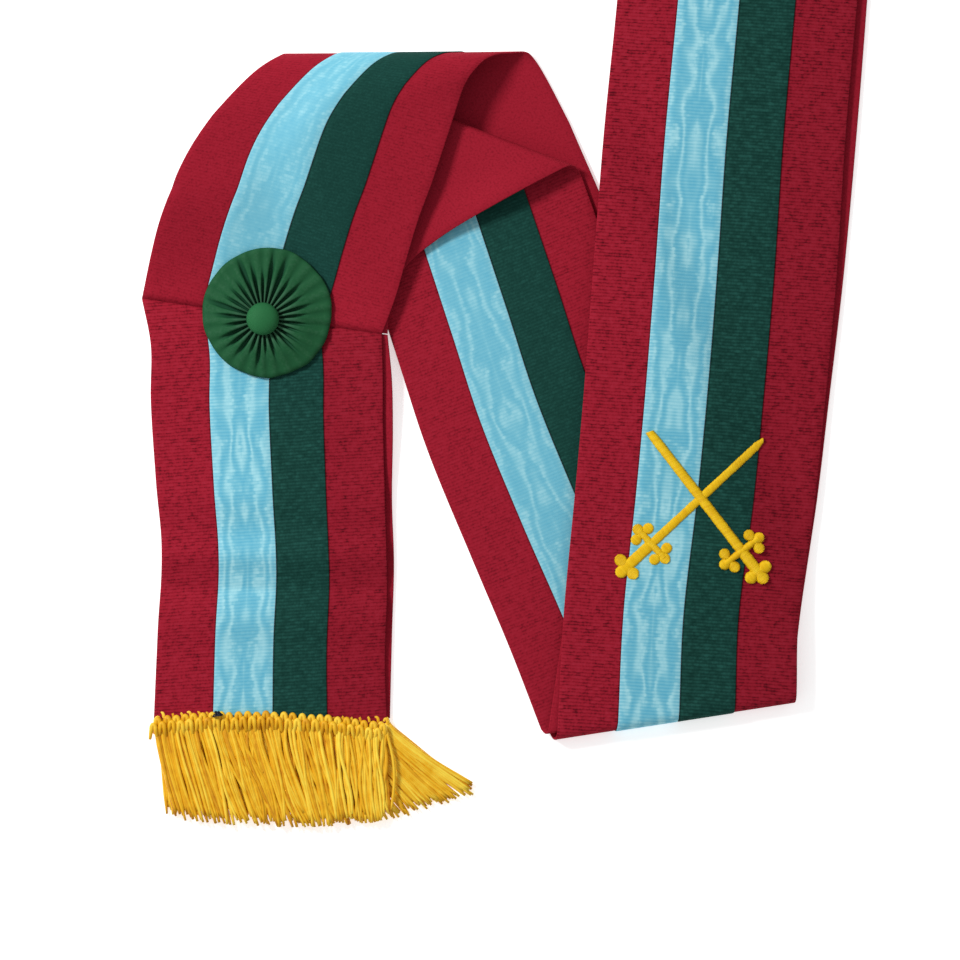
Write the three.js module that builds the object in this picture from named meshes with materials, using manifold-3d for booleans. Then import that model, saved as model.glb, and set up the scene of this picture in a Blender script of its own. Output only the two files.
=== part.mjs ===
// Ribbon sash laid down in soft folds, with a pleated rosette, crossed swords
// in satin stitch and a fringe on each tail. Millimetres, +Z up, resting on
// Z = 0, with +Y running from the fringes towards the shoulder fold.
//
// The sash is one striped ribbon. Its front half and back half leave the
// rosette together, fold over at the top left, come down as the diagonal,
// fold up at the bottom and run on as the right-hand strap to the shoulder.

import * as THREE from 'three';
import { mergeVertices } from 'three/addons/utils/BufferGeometryUtils.js';
import Module from 'manifold-3d';

const wasm = await Module();
wasm.setup();

// Ribbon: a crimson band with two narrower ribbons sewn on its face.
const PLY = 1.8;
const BAND_BACK = -0.9;
const BAND_FRONT = 0.1;
const STRIPE_BACK = 0.4;
const STRIPE_FRONT = 0.9;
const LAYER_PITCH = 2.4;
const SHOULDER_PITCH = 2.7;
const SKY_EDGES = [0.25, 0.495];
const GREEN_EDGES = [0.5, 0.75];
const MITRE_GAP = 0.4;
const LENGTH_GAP = 0.3;
const CELLS_ACROSS = 8;
const ROLL_STEPS = 14;

// Soft rise of the layers above one another.
const COVER_MARGIN = 6;
const COVER_FALL = 28;
const HUMP_LEFT = 16;
const HUMP_RIGHT = 4;
const TRIANGLE_PUFF = 4;
const TRIANGLE_PUFF_REACH = 26;

// Fringe
const FRINGE_LENGTH = 42;
const HEAD_DEPTH = 4.2;
const HEAD_THICK = 1.7;
const LOCK_THICK = 1.7;
const LOCKS = 14;

// Rosette
const ROSETTE = { x: -103.3, y: -43.3 };
const ROSETTE_RADIUS = 27;
const BUTTON = { x: -104.9, y: -45.9 };
const PLEATS = 36;
const PLEAT_HEIGHT = 5.2;
const VALLEY_AT_BUTTON = 0.55;
const VALLEY_AT_RIM = 0.72;
const RIM_NOTCH = 0.965;
const ROSETTE_GAP = 0.9;
const BUTTON_SEAT = 5.7;
const BUTTON_RADIUS = 6.8;
const BUTTON_HEIGHT = 5.4;
const BUTTON_RIM_HEIGHT = 1.2;

// Crossed swords
const BLADE_WIDTH = 3.8;
const TIP_WIDTH = 1.2;
const LOBE_RADIUS = 2.4;
const GUARD_REACH = 6.4;
const STITCH_HEIGHT = 1.1;
const STITCH_GAP = 0.9;
const SWORDS = [
  { tip: [54.6, -92.1], pommel: [99.8, -150.2], guardAt: 0.85, rise: 0.5 },
  { tip: [103.3, -96.2], pommel: [47.5, -148.2], guardAt: 0.85, rise: 0 },
];

// Each leg of the ribbon is a table with a row per section, seen from above:
// left edge x, left edge y, right edge x, right edge y.
const FRONT_STRAP = [
  [-155.4, -37.1, -55.4, -52.1],
  [-152.1, -22.1, -50.0, -37.9],
  [-148.3, -7.5, -45.4, -22.1],
  [-144.6, 2.9, -40.4, -5.4],
  [-142.1, 8.8, -33.5, 13.3],
  [-140.8, 13.3, -22.9, 45.8],
];
const FRONT_UNDER = [
  [-78.8, 28.8, 22.5, 36.2],
  [-57.9, -26.2, 46.7, -20.4],
  [-20.8, -123.8, 81.7, -110.8],
  [13.8, -217.1, 114.6, -201.6],
];
const FRONT_SHOULDER = [
  [16.2, -217.5, 117.1, -202.0],
  [19.6, -168.8, 117.9, -171.2],
  [25.0, -117.1, 124.6, -123.3],
  [28.3, -79.6, 129.2, -79.6],
  [32.1, -29.6, 133.8, -29.6],
  [36.7, 28.8, 137.5, 28.8],
  [42.5, 87.1, 142.5, 87.1],
  [50.0, 172.1, 150.0, 172.1],
  [57.1, 255.8, 157.5, 247.1],
];
const BACK_SHOULDER = [
  [57.1, 255.8, 157.5, 247.1],
  [52.5, 172.1, 152.5, 172.1],
  [46.7, 87.1, 146.7, 87.1],
  [41.2, 28.8, 142.1, 28.8],
  [36.2, -29.6, 136.7, -29.6],
  [31.2, -79.6, 130.8, -79.6],
  [27.1, -117.1, 125.8, -121.2],
  [20.8, -168.8, 118.3, -171.2],
  [13.8, -217.1, 115.4, -201.7],
];
const BACK_DIAGONAL = [
  [10.8, -216.7, 112.9, -201.4],
  [-2.1, -183.3, 91.2, -146.2],
  [-17.9, -145.8, 63.8, -87.1],
  [-36.7, -100.0, 51.7, -56.7],
  [-50.0, -59.2, 40.8, -23.3],
  [-87.9, 57.9, 27.5, 14.2],
];
const BACK_STRAP = [
  [-95.4, 60.8, 20.0, 16.7],
  [-105.4, 46.5, -2.2, 5.0],
  [-119.6, 24.6, -31.2, -12.1],
  [-135.4, -2.5, -45.8, -24.6],
  [-147.9, -23.3, -51.8, -37.9],
  [-154.6, -37.1, -53.0, -52.1],
];
const FRONT_TAIL = [
  [-155.4, -37.5, -55.4, -52.5],
  [-151.7, -56.7, -55.0, -71.2],
  [-151.7, -79.6, -55.0, -87.9],
  [-149.6, -112.5, -54.2, -121.2],
  [-147.1, -142.5, -53.3, -157.5],
  [-148.8, -176.2, -54.2, -187.9],
  [-150.4, -210.8, -53.3, -213.8],
];
const BACK_TAIL = [
  [-154.6, -37.5, -53.0, -52.5],
  [-149.6, -56.7, -51.2, -71.2],
  [-149.6, -79.6, -50.8, -92.1],
  [-147.9, -112.5, -51.2, -121.2],
  [-145.4, -142.5, -50.4, -147.9],
  [-147.1, -176.2, -51.2, -176.2],
  [-148.8, -209.6, -52.1, -212.1],
];

// The front half's soft roll, from its crown over the edge to the floor:
// left edge x, y and height, right edge x, y and height of the ribbon's middle.
const FRONT_ROLL = [
  [-132.9, 28.8, 20.6, -21.2, 51.2, 16.2],
  [-120.4, 44.2, 20.0, -16.7, 57.5, 15.6],
  [-107.1, 57.5, 16.8, -12.1, 62.1, 13.6],
  [-98.3, 63.3, 12.2, -6.7, 64.4, 10.2],
  [-95.4, 64.4, 7.2, -1.2, 65.0, 6.4],
  [-93.8, 63.3, 3.2, 4.2, 64.8, 3.2],
  [-91.7, 60.4, 1.2, 8.3, 62.1, 1.3],
  [-88.3, 53.8, 0.9, 12.5, 55.4, 0.9],
];

// Creases across the tails: distance from the tail's top, height and reach.
const TAIL_CREASES = [
  [96, 2.6, 9],
  [134, 1.8, 8],
];

const lerp = THREE.MathUtils.lerp;

function smoothFade(value) {
  const t = THREE.MathUtils.clamp(value, 0, 1);
  return t * t * (3 - 2 * t);
}

// Plan outline of a leg, from its first and last rows, as four corners.
function legOutline(rows) {
  const first = rows[0];
  const last = rows[rows.length - 1];
  return [[first[0], first[1]], [first[2], first[3]], [last[2], last[3]], [last[0], last[1]]];
}

// How far a point lies outside a convex outline, in millimetres.
function distanceOutside(outline, x, y) {
  const centreX = outline.reduce((sum, p) => sum + p[0], 0) / outline.length;
  const centreY = outline.reduce((sum, p) => sum + p[1], 0) / outline.length;
  let distance = -Infinity;
  outline.forEach((p, i) => {
    const q = outline[(i + 1) % outline.length];
    const length = Math.hypot(q[0] - p[0], q[1] - p[1]);
    const side = (px, py) => ((px - p[0]) * (q[1] - p[1]) - (py - p[1]) * (q[0] - p[0])) / length;
    distance = Math.max(distance, side(x, y) * -Math.sign(side(centreX, centreY)));
  });
  return distance;
}

// 1 over a leg, falling softly to 0 beside it.
function cover(outline, x, y) {
  return 1 - smoothFade((distanceOutside(outline, x, y) - COVER_MARGIN) / COVER_FALL);
}

const UNDER_OUTLINE = legOutline(FRONT_UNDER);
const DIAGONAL_OUTLINE = legOutline(BACK_DIAGONAL);

// Height of the two diagonal layers as they lift what lies across them.
function overDiagonal(x, y) {
  return LAYER_PITCH * (cover(UNDER_OUTLINE, x, y) + cover(DIAGONAL_OUTLINE, x, y));
}

// Signed distance of a point beyond the line through a row's two edges.
function beyondRow(row, x, y) {
  const length = Math.hypot(row[2] - row[0], row[3] - row[1]);
  return ((row[2] - row[0]) * (y - row[1]) - (row[3] - row[1]) * (x - row[0])) / length;
}

// Middle height of the back half where it runs from its fold to the rosette.
function backStrapHeight(x, y) {
  const fromFold = beyondRow(BACK_STRAP[0], x, y) / TRIANGLE_PUFF_REACH;
  return PLY / 2 + overDiagonal(x, y) + TRIANGLE_PUFF * Math.exp(-fromFold * fromFold);
}

// Middle height of the front half from its tail to the crown of its roll.
function frontStrapHeight(x, y) {
  const fromSeam = Math.max(beyondRow(FRONT_STRAP[0], x, y), 0);
  const crown = FRONT_STRAP[FRONT_STRAP.length - 1];
  const toCrown = Math.max(-beyondRow(crown, x, y), 0);
  const across = THREE.MathUtils.clamp((x - crown[0]) / (crown[2] - crown[0]), 0, 1);
  const hump = lerp(HUMP_LEFT, HUMP_RIGHT, across);
  return backStrapHeight(x, y) + LAYER_PITCH + hump * smoothFade(fromSeam / (fromSeam + toCrown + 1e-6));
}

function frontTailHeight(x, y) {
  const down = FRONT_TAIL[0][1] - y;
  const creases = TAIL_CREASES.map(([at, height, reach]) => height * Math.exp(-(((down - at) / reach) ** 2)));
  return frontStrapHeight(x, y) + creases.reduce((sum, crease) => sum + crease, 0);
}

function backShoulderHeight(x, y) {
  return PLY / 2 + overDiagonal(x, y);
}

function frontShoulderHeight(x, y) {
  return backShoulderHeight(x, y) + SHOULDER_PITCH;
}

// A station is one line across the ribbon: the points on it, left to right.
function stationAcross(left, right, height) {
  const points = [];
  for (let i = 0; i <= CELLS_ACROSS; i += 1) {
    const point = new THREE.Vector3().lerpVectors(left, right, i / CELLS_ACROSS);
    if (height) {
      point.z = height(point.x, point.y);
    }
    points.push(point);
  }
  return points;
}

// Stations of a leg that lies flat or drapes over what is below it.
function layLeg(rows, height, step) {
  const leftEdge = new THREE.CatmullRomCurve3(rows.map((r) => new THREE.Vector3(r[0], r[1], 0)), false, 'centripetal');
  const rightEdge = new THREE.CatmullRomCurve3(rows.map((r) => new THREE.Vector3(r[2], r[3], 0)), false, 'centripetal');
  const stations = [];
  for (let i = 0; i < rows.length - 1; i += 1) {
    const spans = Math.max(1, Math.round(Math.hypot(rows[i + 1][0] - rows[i][0], rows[i + 1][1] - rows[i][1]) / step));
    for (let k = 0; k < spans; k += 1) {
      const t = (i + k / spans) / (rows.length - 1);
      stations.push(stationAcross(leftEdge.getPoint(t), rightEdge.getPoint(t), height));
    }
  }
  stations.push(stationAcross(leftEdge.getPoint(1), rightEdge.getPoint(1), height));
  return stations;
}

// Stations of the roll, through its own table of heights.
function rollLeg(crown, rows, foot) {
  const sections = [
    [crown[0].x, crown[0].y, crown[0].z, crown[CELLS_ACROSS].x, crown[CELLS_ACROSS].y, crown[CELLS_ACROSS].z],
    ...rows,
    [foot[0].x, foot[0].y, foot[0].z, foot[CELLS_ACROSS].x, foot[CELLS_ACROSS].y, foot[CELLS_ACROSS].z],
  ];
  const leftEdge = new THREE.CatmullRomCurve3(sections.map((s) => new THREE.Vector3(s[0], s[1], s[2])), false, 'centripetal');
  const rightEdge = new THREE.CatmullRomCurve3(sections.map((s) => new THREE.Vector3(s[3], s[4], s[5])), false, 'centripetal');
  const stations = [];
  for (let i = 1; i < ROLL_STEPS; i += 1) {
    const left = leftEdge.getPoint(i / ROLL_STEPS);
    const right = rightEdge.getPoint(i / ROLL_STEPS);
    left.z = Math.max(left.z, PLY / 2);
    right.z = Math.max(right.z, PLY / 2);
    stations.push(stationAcross(left, right, null));
  }
  return stations;
}

// Half a turn from one leg's last station to the next leg's first, bulging
// out past the line on which they meet.
function foldOver(from, to, outward, steps) {
  const radius = Math.abs(to[0].z - from[0].z) / 2;
  const stations = [];
  for (let k = 1; k < steps; k += 1) {
    const turn = Math.PI * k / steps;
    stations.push(from.map((start, i) => {
      const end = to[i];
      const along = k / steps;
      const middle = (start.z + end.z) / 2;
      return new THREE.Vector3(
        lerp(start.x, end.x, along) + outward[0] * radius * Math.sin(turn),
        lerp(start.y, end.y, along) + outward[1] * radius * Math.sin(turn),
        middle + (start.z - end.z) / 2 * Math.cos(turn),
      );
    }));
  }
  return stations;
}

// Unit direction square to a row, on the given side (+1 or -1).
function squareTo(row, side) {
  const length = Math.hypot(row[2] - row[0], row[3] - row[1]);
  return [-side * (row[3] - row[1]) / length, side * (row[2] - row[0]) / length];
}

// Unit normals of the ribbon's face at every point of its stations.
function faceNormals(stations) {
  return stations.map((station, i) => station.map((point, j) => {
    const before = stations[Math.max(i - 1, 0)][j];
    const after = stations[Math.min(i + 1, stations.length - 1)][j];
    const left = station[Math.max(j - 1, 0)];
    const right = station[Math.min(j + 1, CELLS_ACROSS)];
    const travel = new THREE.Vector3().subVectors(after, before);
    const across = new THREE.Vector3().subVectors(right, left);
    return across.cross(travel).normalize();
  }));
}

// A point on the ribbon at a share of its width, moved off its middle surface.
function ribbonPoint(station, normals, share, offset) {
  const place = Math.min(share * CELLS_ACROSS, CELLS_ACROSS - 1e-9);
  const cell = Math.floor(place);
  const point = new THREE.Vector3().lerpVectors(station[cell], station[cell + 1], place - cell);
  const normal = new THREE.Vector3().lerpVectors(normals[cell], normals[cell + 1], place - cell).normalize();
  return point.addScaledVector(normal, offset);
}

// Closed strip between two shares of the width and two offsets off the middle.
// Its two sides, and layers that run up and down over each other, are split
// along the same diagonals, so that they stay parallel.
function stripGeometry({ stations, normals }, shares, back, front) {
  const [from, to] = shares;
  const inner = [];
  for (let cell = 1; cell < CELLS_ACROSS; cell += 1) {
    const share = cell / CELLS_ACROSS;
    if (share > from + 0.01 && share < to - 0.01) {
      inner.push(share);
    }
  }
  const columns = [from, ...inner, to];
  const ring = columns.length * 2;
  const positions = [];
  stations.forEach((station, i) => {
    columns.forEach((share) => positions.push(...ribbonPoint(station, normals[i], share, back)));
    [...columns].reverse().forEach((share) => positions.push(...ribbonPoint(station, normals[i], share, front)));
  });
  const index = [];
  for (let i = 0; i < stations.length - 1; i += 1) {
    const running = stations[i + 1][0].y > stations[i][0].y;
    for (let k = 0; k < ring; k += 1) {
      const a = i * ring + k;
      const b = i * ring + (k + 1) % ring;
      if ((k < columns.length) === running) {
        index.push(a, b, b + ring, a, b + ring, a + ring);
      } else {
        index.push(a, b, a + ring, b, b + ring, a + ring);
      }
    }
  }
  const last = (stations.length - 1) * ring;
  for (let k = 0; k < columns.length - 1; k += 1) {
    const mirror = ring - 1 - k;
    index.push(k, mirror - 1, k + 1, k, mirror, mirror - 1);
    index.push(last + k, last + k + 1, last + mirror - 1, last + k, last + mirror - 1, last + mirror);
  }
  return closedGeometry(positions, index);
}

// Geometry with its triangles turned so that its faces point outwards.
function closedGeometry(positions, index) {
  const geometry = new THREE.BufferGeometry();
  geometry.setAttribute('position', new THREE.Float32BufferAttribute(positions, 3));
  const corner = (i) => new THREE.Vector3().fromArray(positions, index[i] * 3);
  let volume = 0;
  for (let i = 0; i < index.length; i += 3) {
    volume += corner(i).dot(corner(i + 1).cross(corner(i + 2)));
  }
  if (volume < 0) {
    for (let i = 0; i < index.length; i += 3) {
      [index[i + 1], index[i + 2]] = [index[i + 2], index[i + 1]];
    }
  }
  geometry.setIndex(index);
  return geometry;
}

function toManifold(source) {
  const bare = source.clone();
  bare.deleteAttribute('normal');
  bare.deleteAttribute('uv');
  const merged = mergeVertices(bare, 1e-4);
  return new wasm.Manifold(new wasm.Mesh({
    numProp: 3,
    vertProperties: new Float32Array(merged.attributes.position.array),
    triVerts: new Uint32Array(merged.index.array),
  }));
}

function fuse(geometries) {
  const whole = geometries.map(toManifold).reduce((sum, solid) => sum.add(solid));
  const mesh = whole.getMesh();
  const geometry = new THREE.BufferGeometry();
  geometry.setAttribute('position', new THREE.Float32BufferAttribute(mesh.vertProperties, 3));
  geometry.setIndex([...mesh.triVerts]);
  return geometry;
}

// The same stations, with the first and last drawn back by half of LENGTH_GAP.
function drawBack(stations) {
  const drawn = (station, next) => station.map((point, j) => {
    const share = LENGTH_GAP / 2 / point.distanceTo(next[j]);
    return new THREE.Vector3().lerpVectors(point, next[j], share);
  });
  const last = stations.length - 1;
  return [drawn(stations[0], stations[1]), ...stations.slice(1, last), drawn(stations[last], stations[last - 1])];
}

// The loop in seven lengths, from the front seam round to the back seam. Each
// starts at the last station of the one before and holds one leg of the ribbon,
// so that the spaces between the legs and inside the roll stay open.
function loopLengths() {
  const frontStrap = layLeg(FRONT_STRAP, frontStrapHeight, 11);
  const frontUnder = layLeg(FRONT_UNDER, () => PLY / 2, 30);
  const frontShoulder = layLeg(FRONT_SHOULDER, frontShoulderHeight, 26);
  const backShoulder = layLeg(BACK_SHOULDER, backShoulderHeight, 26);
  const backDiagonal = layLeg(BACK_DIAGONAL, () => PLY / 2 + LAYER_PITCH, 30);
  const backStrap = layLeg(BACK_STRAP, backStrapHeight, 9);
  const lastOf = (stations) => stations[stations.length - 1];
  const lowerFold = foldOver(lastOf(frontUnder), frontShoulder[0], squareTo(FRONT_SHOULDER[0], -1), 6);
  const shoulderFold = foldOver(lastOf(frontShoulder), backShoulder[0], squareTo(BACK_SHOULDER[0], 1), 5);
  const innerFold = foldOver(lastOf(backShoulder), backDiagonal[0], squareTo(BACK_DIAGONAL[0], -1), 5);
  const upperFold = foldOver(lastOf(backDiagonal), backStrap[0], squareTo(BACK_STRAP[0], 1), 6);
  const runs = [
    ['front_strap', frontStrap],
    ['front_roll', [...rollLeg(lastOf(frontStrap), FRONT_ROLL, frontUnder[0]), frontUnder[0]]],
    ['front_under', frontUnder.slice(1)],
    ['front_shoulder', [...lowerFold, ...frontShoulder]],
    ['back_shoulder', [...shoulderFold, ...backShoulder]],
    ['back_diagonal', [...innerFold, ...backDiagonal]],
    ['back_strap', [...upperFold, ...backStrap]],
  ];
  const stations = runs.flatMap(([, run]) => run);
  const normals = faceNormals(stations);
  let start = 0;
  return runs.map(([name, run]) => {
    const from = Math.max(start - 1, 0);
    start += run.length;
    return { name, stations: drawBack(stations.slice(from, start)), normals: normals.slice(from, start) };
  });
}

// One tapering lock of the fringe, from its root to its tip, lying flat.
function fringeLock(root, tip, baseZ, width) {
  const direction = new THREE.Vector2().subVectors(tip, root);
  const side = new THREE.Vector2(-direction.y, direction.x).normalize().multiplyScalar(width / 2);
  const sections = [[0, 0.9, 1], [0.5, 1.05, 0.95], [0.93, 0.9, 0.8], [1, 0.45, 0.5]];
  const positions = [];
  sections.forEach(([along, wide, thick]) => {
    const x = root.x + direction.x * along;
    const y = root.y + direction.y * along;
    const top = baseZ + LOCK_THICK * thick;
    positions.push(x - side.x * wide, y - side.y * wide, baseZ);
    positions.push(x + side.x * wide, y + side.y * wide, baseZ);
    positions.push(x + side.x * wide * 0.6, y + side.y * wide * 0.6, top);
    positions.push(x - side.x * wide * 0.6, y - side.y * wide * 0.6, top);
  });
  const index = [0, 2, 1, 0, 3, 2];
  for (let s = 0; s < sections.length - 1; s += 1) {
    for (let k = 0; k < 4; k += 1) {
      const a = s * 4 + k;
      const b = s * 4 + (k + 1) % 4;
      index.push(a, b, b + 4, a, b + 4, a + 4);
    }
  }
  const end = (sections.length - 1) * 4;
  index.push(end, end + 1, end + 2, end, end + 2, end + 3);
  return closedGeometry(positions, index);
}

// A fringe under a tail's last row: a heading and the locks that hang from it.
// lean(share) is each lock's sideways reach in millimetres.
function fringe(row, baseZ, lean) {
  const start = new THREE.Vector2(row[0], row[1] - MITRE_GAP);
  const end = new THREE.Vector2(row[2], row[3] - MITRE_GAP);
  const pieces = [];
  const heading = fringeHeading(start, end, baseZ);
  pieces.push(heading);
  const lockWidth = start.distanceTo(end) / LOCKS * 1.16;
  for (let i = 0; i < LOCKS; i += 1) {
    const share = (i + 0.5) / LOCKS;
    const root = new THREE.Vector2().lerpVectors(start, end, share);
    root.y -= HEAD_DEPTH / 2;
    const reach = FRINGE_LENGTH - HEAD_DEPTH / 2 + 1.2 * Math.sin(i * 2.3);
    const sideways = lean(share) + 0.8 * Math.sin(i * 1.7);
    const drop = Math.sqrt(Math.max(reach * reach - sideways * sideways, 1));
    const tip = new THREE.Vector2(root.x + sideways, root.y - drop);
    pieces.push(fringeLock(root, tip, baseZ, lockWidth));
  }
  return fuse(pieces);
}

function fringeHeading(start, end, baseZ) {
  const corners = [
    [start.x, start.y], [end.x, end.y], [end.x, end.y - HEAD_DEPTH], [start.x, start.y - HEAD_DEPTH],
  ];
  const outline = new THREE.Shape(corners.map(([x, y]) => new THREE.Vector2(x, y)));
  const geometry = new THREE.ExtrudeGeometry(outline, { depth: HEAD_THICK, bevelEnabled: false });
  return geometry.translate(0, 0, baseZ);
}

// Height of the front half's upper side around the rosette.
function rosetteSeat(x, y) {
  return Math.max(frontStrapHeight(x, y), frontTailHeight(x, y)) + PLY / 2 + ROSETTE_GAP;
}

// The pleated frill: ridges and valleys run out from the button to the rim.
function rosetteFrill() {
  const rings = [[0.16, 0.45], [0.3, 1], [0.55, 0.92], [0.82, 0.72], [1, 0.5]];
  const spokes = PLEATS * 2;
  const positions = [];
  const index = [];
  const place = (share, k, height) => {
    const angle = Math.PI * 2 * k / spokes;
    const notched = share === 1 && k % 2 === 0;
    const radius = ROSETTE_RADIUS * share * (notched ? RIM_NOTCH : 1);
    const x = ROSETTE.x + radius * Math.cos(angle);
    const y = ROSETTE.y + radius * Math.sin(angle);
    positions.push(x, y, rosetteSeat(x, y) + height);
  };
  place(0, 0, PLEAT_HEIGHT * 0.4);
  rings.forEach(([share, tall]) => {
    for (let k = 0; k < spokes; k += 1) {
      const depth = k % 2 ? 1 : lerp(VALLEY_AT_BUTTON, VALLEY_AT_RIM, share);
      place(share, k, PLEAT_HEIGHT * tall * depth);
    }
  });
  for (let k = 0; k < spokes; k += 1) {
    place(1, k, 0);
  }
  place(0, 0, 0);
  const ringCount = rings.length + 1;
  for (let k = 0; k < spokes; k += 1) {
    const next = (k + 1) % spokes;
    index.push(0, 1 + k, 1 + next);
    for (let r = 0; r < ringCount - 1; r += 1) {
      const a = 1 + r * spokes;
      const b = a + spokes;
      index.push(a + k, b + k, b + next, a + k, b + next, a + next);
    }
    const inner = 1 + (ringCount - 1) * spokes;
    index.push(inner + k, inner + spokes, inner + next);
  }
  return closedGeometry(positions, index);
}

// Domed button that sits on the frill, a little below its middle.
function rosetteButton() {
  const profile = [new THREE.Vector2(0, 0), new THREE.Vector2(BUTTON_RADIUS * 0.8, 0)];
  for (let k = 0; k <= 6; k += 1) {
    const turn = Math.PI / 2 * k / 6;
    const radius = k === 6 ? 0 : BUTTON_RADIUS * Math.cos(turn);
    const height = lerp(BUTTON_RIM_HEIGHT, BUTTON_HEIGHT, Math.sin(turn));
    profile.push(new THREE.Vector2(radius, height));
  }
  const geometry = new THREE.LatheGeometry(profile, 16);
  geometry.rotateX(Math.PI / 2);
  geometry.translate(BUTTON.x, BUTTON.y, rosetteSeat(BUTTON.x, BUTTON.y) + BUTTON_SEAT);
  return geometry;
}

// Sets a flat piece of embroidery down on the strap, following its slope.
function layOnStrap(geometry, rise) {
  const place = geometry.attributes.position;
  for (let i = 0; i < place.count; i += 1) {
    const ground = frontShoulderHeight(place.getX(i), place.getY(i)) + PLY / 2;
    place.setZ(i, place.getZ(i) + ground + STITCH_GAP + (place.getZ(i) > 0 ? rise : 0));
  }
  return geometry;
}

// A bar of satin stitch from one point to another, with a width at each end.
function stitchBar(from, to, widthFrom, widthTo, rise) {
  const start = new THREE.Vector2(...from);
  const end = new THREE.Vector2(...to);
  const length = start.distanceTo(end);
  const bar = new THREE.BoxGeometry(length, 1, STITCH_HEIGHT, Math.ceil(length / 14), 1, 1);
  const place = bar.attributes.position;
  for (let i = 0; i < place.count; i += 1) {
    const along = place.getX(i) / length + 0.5;
    place.setY(i, place.getY(i) * lerp(widthFrom, widthTo, along));
  }
  bar.translate(length / 2, 0, STITCH_HEIGHT / 2);
  bar.rotateZ(Math.atan2(end.y - start.y, end.x - start.x));
  bar.translate(start.x, start.y, 0);
  return layOnStrap(bar, rise);
}

// Three round lobes, one ahead and one on each side of the given direction.
function trefoil(centre, heading, rise) {
  return [-Math.PI / 2, 0, Math.PI / 2].map((turn) => {
    const lobe = new THREE.CylinderGeometry(LOBE_RADIUS, LOBE_RADIUS, STITCH_HEIGHT, 6);
    lobe.rotateX(Math.PI / 2);
    const x = centre[0] + LOBE_RADIUS * 1.1 * Math.cos(heading + turn);
    const y = centre[1] + LOBE_RADIUS * 1.1 * Math.sin(heading + turn);
    lobe.translate(x, y, STITCH_HEIGHT / 2);
    return layOnStrap(lobe, rise);
  });
}

function sword({ tip, pommel, guardAt, rise }) {
  const heading = Math.atan2(pommel[1] - tip[1], pommel[0] - tip[0]);
  const guard = [lerp(tip[0], pommel[0], guardAt), lerp(tip[1], pommel[1], guardAt)];
  const aside = (side) => [
    guard[0] + side * GUARD_REACH * Math.cos(heading + Math.PI / 2),
    guard[1] + side * GUARD_REACH * Math.sin(heading + Math.PI / 2),
  ];
  return [
    stitchBar(tip, guard, TIP_WIDTH, BLADE_WIDTH, rise),
    stitchBar(guard, pommel, BLADE_WIDTH, BLADE_WIDTH, rise),
    stitchBar(aside(-1), aside(1), BLADE_WIDTH, BLADE_WIDTH, rise),
    ...trefoil(aside(1), heading + Math.PI / 2, rise),
    ...trefoil(aside(-1), heading - Math.PI / 2, rise),
    ...trefoil(pommel, heading, rise),
  ];
}

function addPiece(group, name, geometry, colour, roughness) {
  const material = new THREE.MeshStandardMaterial({ color: colour, roughness, metalness: 0 });
  const mesh = new THREE.Mesh(geometry, material);
  mesh.name = name;
  group.add(mesh);
}

const CRIMSON = 0x9e1f2f;
const SKY = 0x7ccbdd;
const GREEN = 0x1d4a3f;
const YELLOW = 0xf2be17;
const ROSETTE_GREEN = 0x2c6a40;

function addRibbon(group, length) {
  const { name } = length;
  addPiece(group, `${name}_band`, stripGeometry(length, [0, 1], BAND_BACK, BAND_FRONT), CRIMSON, 0.8);
  addPiece(group, `${name}_sky_ribbon`, stripGeometry(length, SKY_EDGES, STRIPE_BACK, STRIPE_FRONT), SKY, 0.55);
  addPiece(group, `${name}_green_ribbon`, stripGeometry(length, GREEN_EDGES, STRIPE_BACK, STRIPE_FRONT), GREEN, 0.8);
}

function addTail(group, name, stations) {
  addRibbon(group, { name, stations, normals: faceNormals(stations) });
}

function buildSash() {
  const sash = new THREE.Group();
  loopLengths().forEach((length) => addRibbon(sash, length));
  // Taken from the fringe up, the front tail's face is up; the back tail's is down.
  addTail(sash, 'front_tail', layLeg(FRONT_TAIL, frontTailHeight, 12).reverse());
  addTail(sash, 'back_tail', layLeg(BACK_TAIL, backStrapHeight, 16));
  addPiece(sash, 'front_fringe', fringe(FRONT_TAIL[FRONT_TAIL.length - 1], LAYER_PITCH, () => 1.5), YELLOW, 0.6);
  const fan = (share) => 34 * smoothFade((share - 0.55) / 0.45);
  addPiece(sash, 'back_fringe', fringe(BACK_TAIL[BACK_TAIL.length - 1], 0, fan), YELLOW, 0.6);
  addPiece(sash, 'rosette_frill', rosetteFrill(), ROSETTE_GREEN, 0.7);
  addPiece(sash, 'rosette_button', rosetteButton(), ROSETTE_GREEN, 0.5);
  addPiece(sash, 'crossed_swords', fuse(SWORDS.flatMap(sword)), YELLOW, 0.5);
  return sash;
}

// Moves the sash so that the middle of its footprint is the origin.
function centred(sash) {
  const box = new THREE.Box3().setFromObject(sash, true);
  sash.position.set(-(box.min.x + box.max.x) / 2, -(box.min.y + box.max.y) / 2, -box.min.z);
  return sash;
}

const frame = new THREE.Group();
frame.add(centred(buildSash()));

export default frame;
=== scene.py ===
"""Looks of the folded ribbon sash, in metres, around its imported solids.

The ribbon is drawn again from the same tables as the solids, with finer
sections. Tables and sizes are in millimetres, measured on the flat surface
that the sash lies on, and are moved to the solids' frame at the end.
"""

import math
import random

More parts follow.
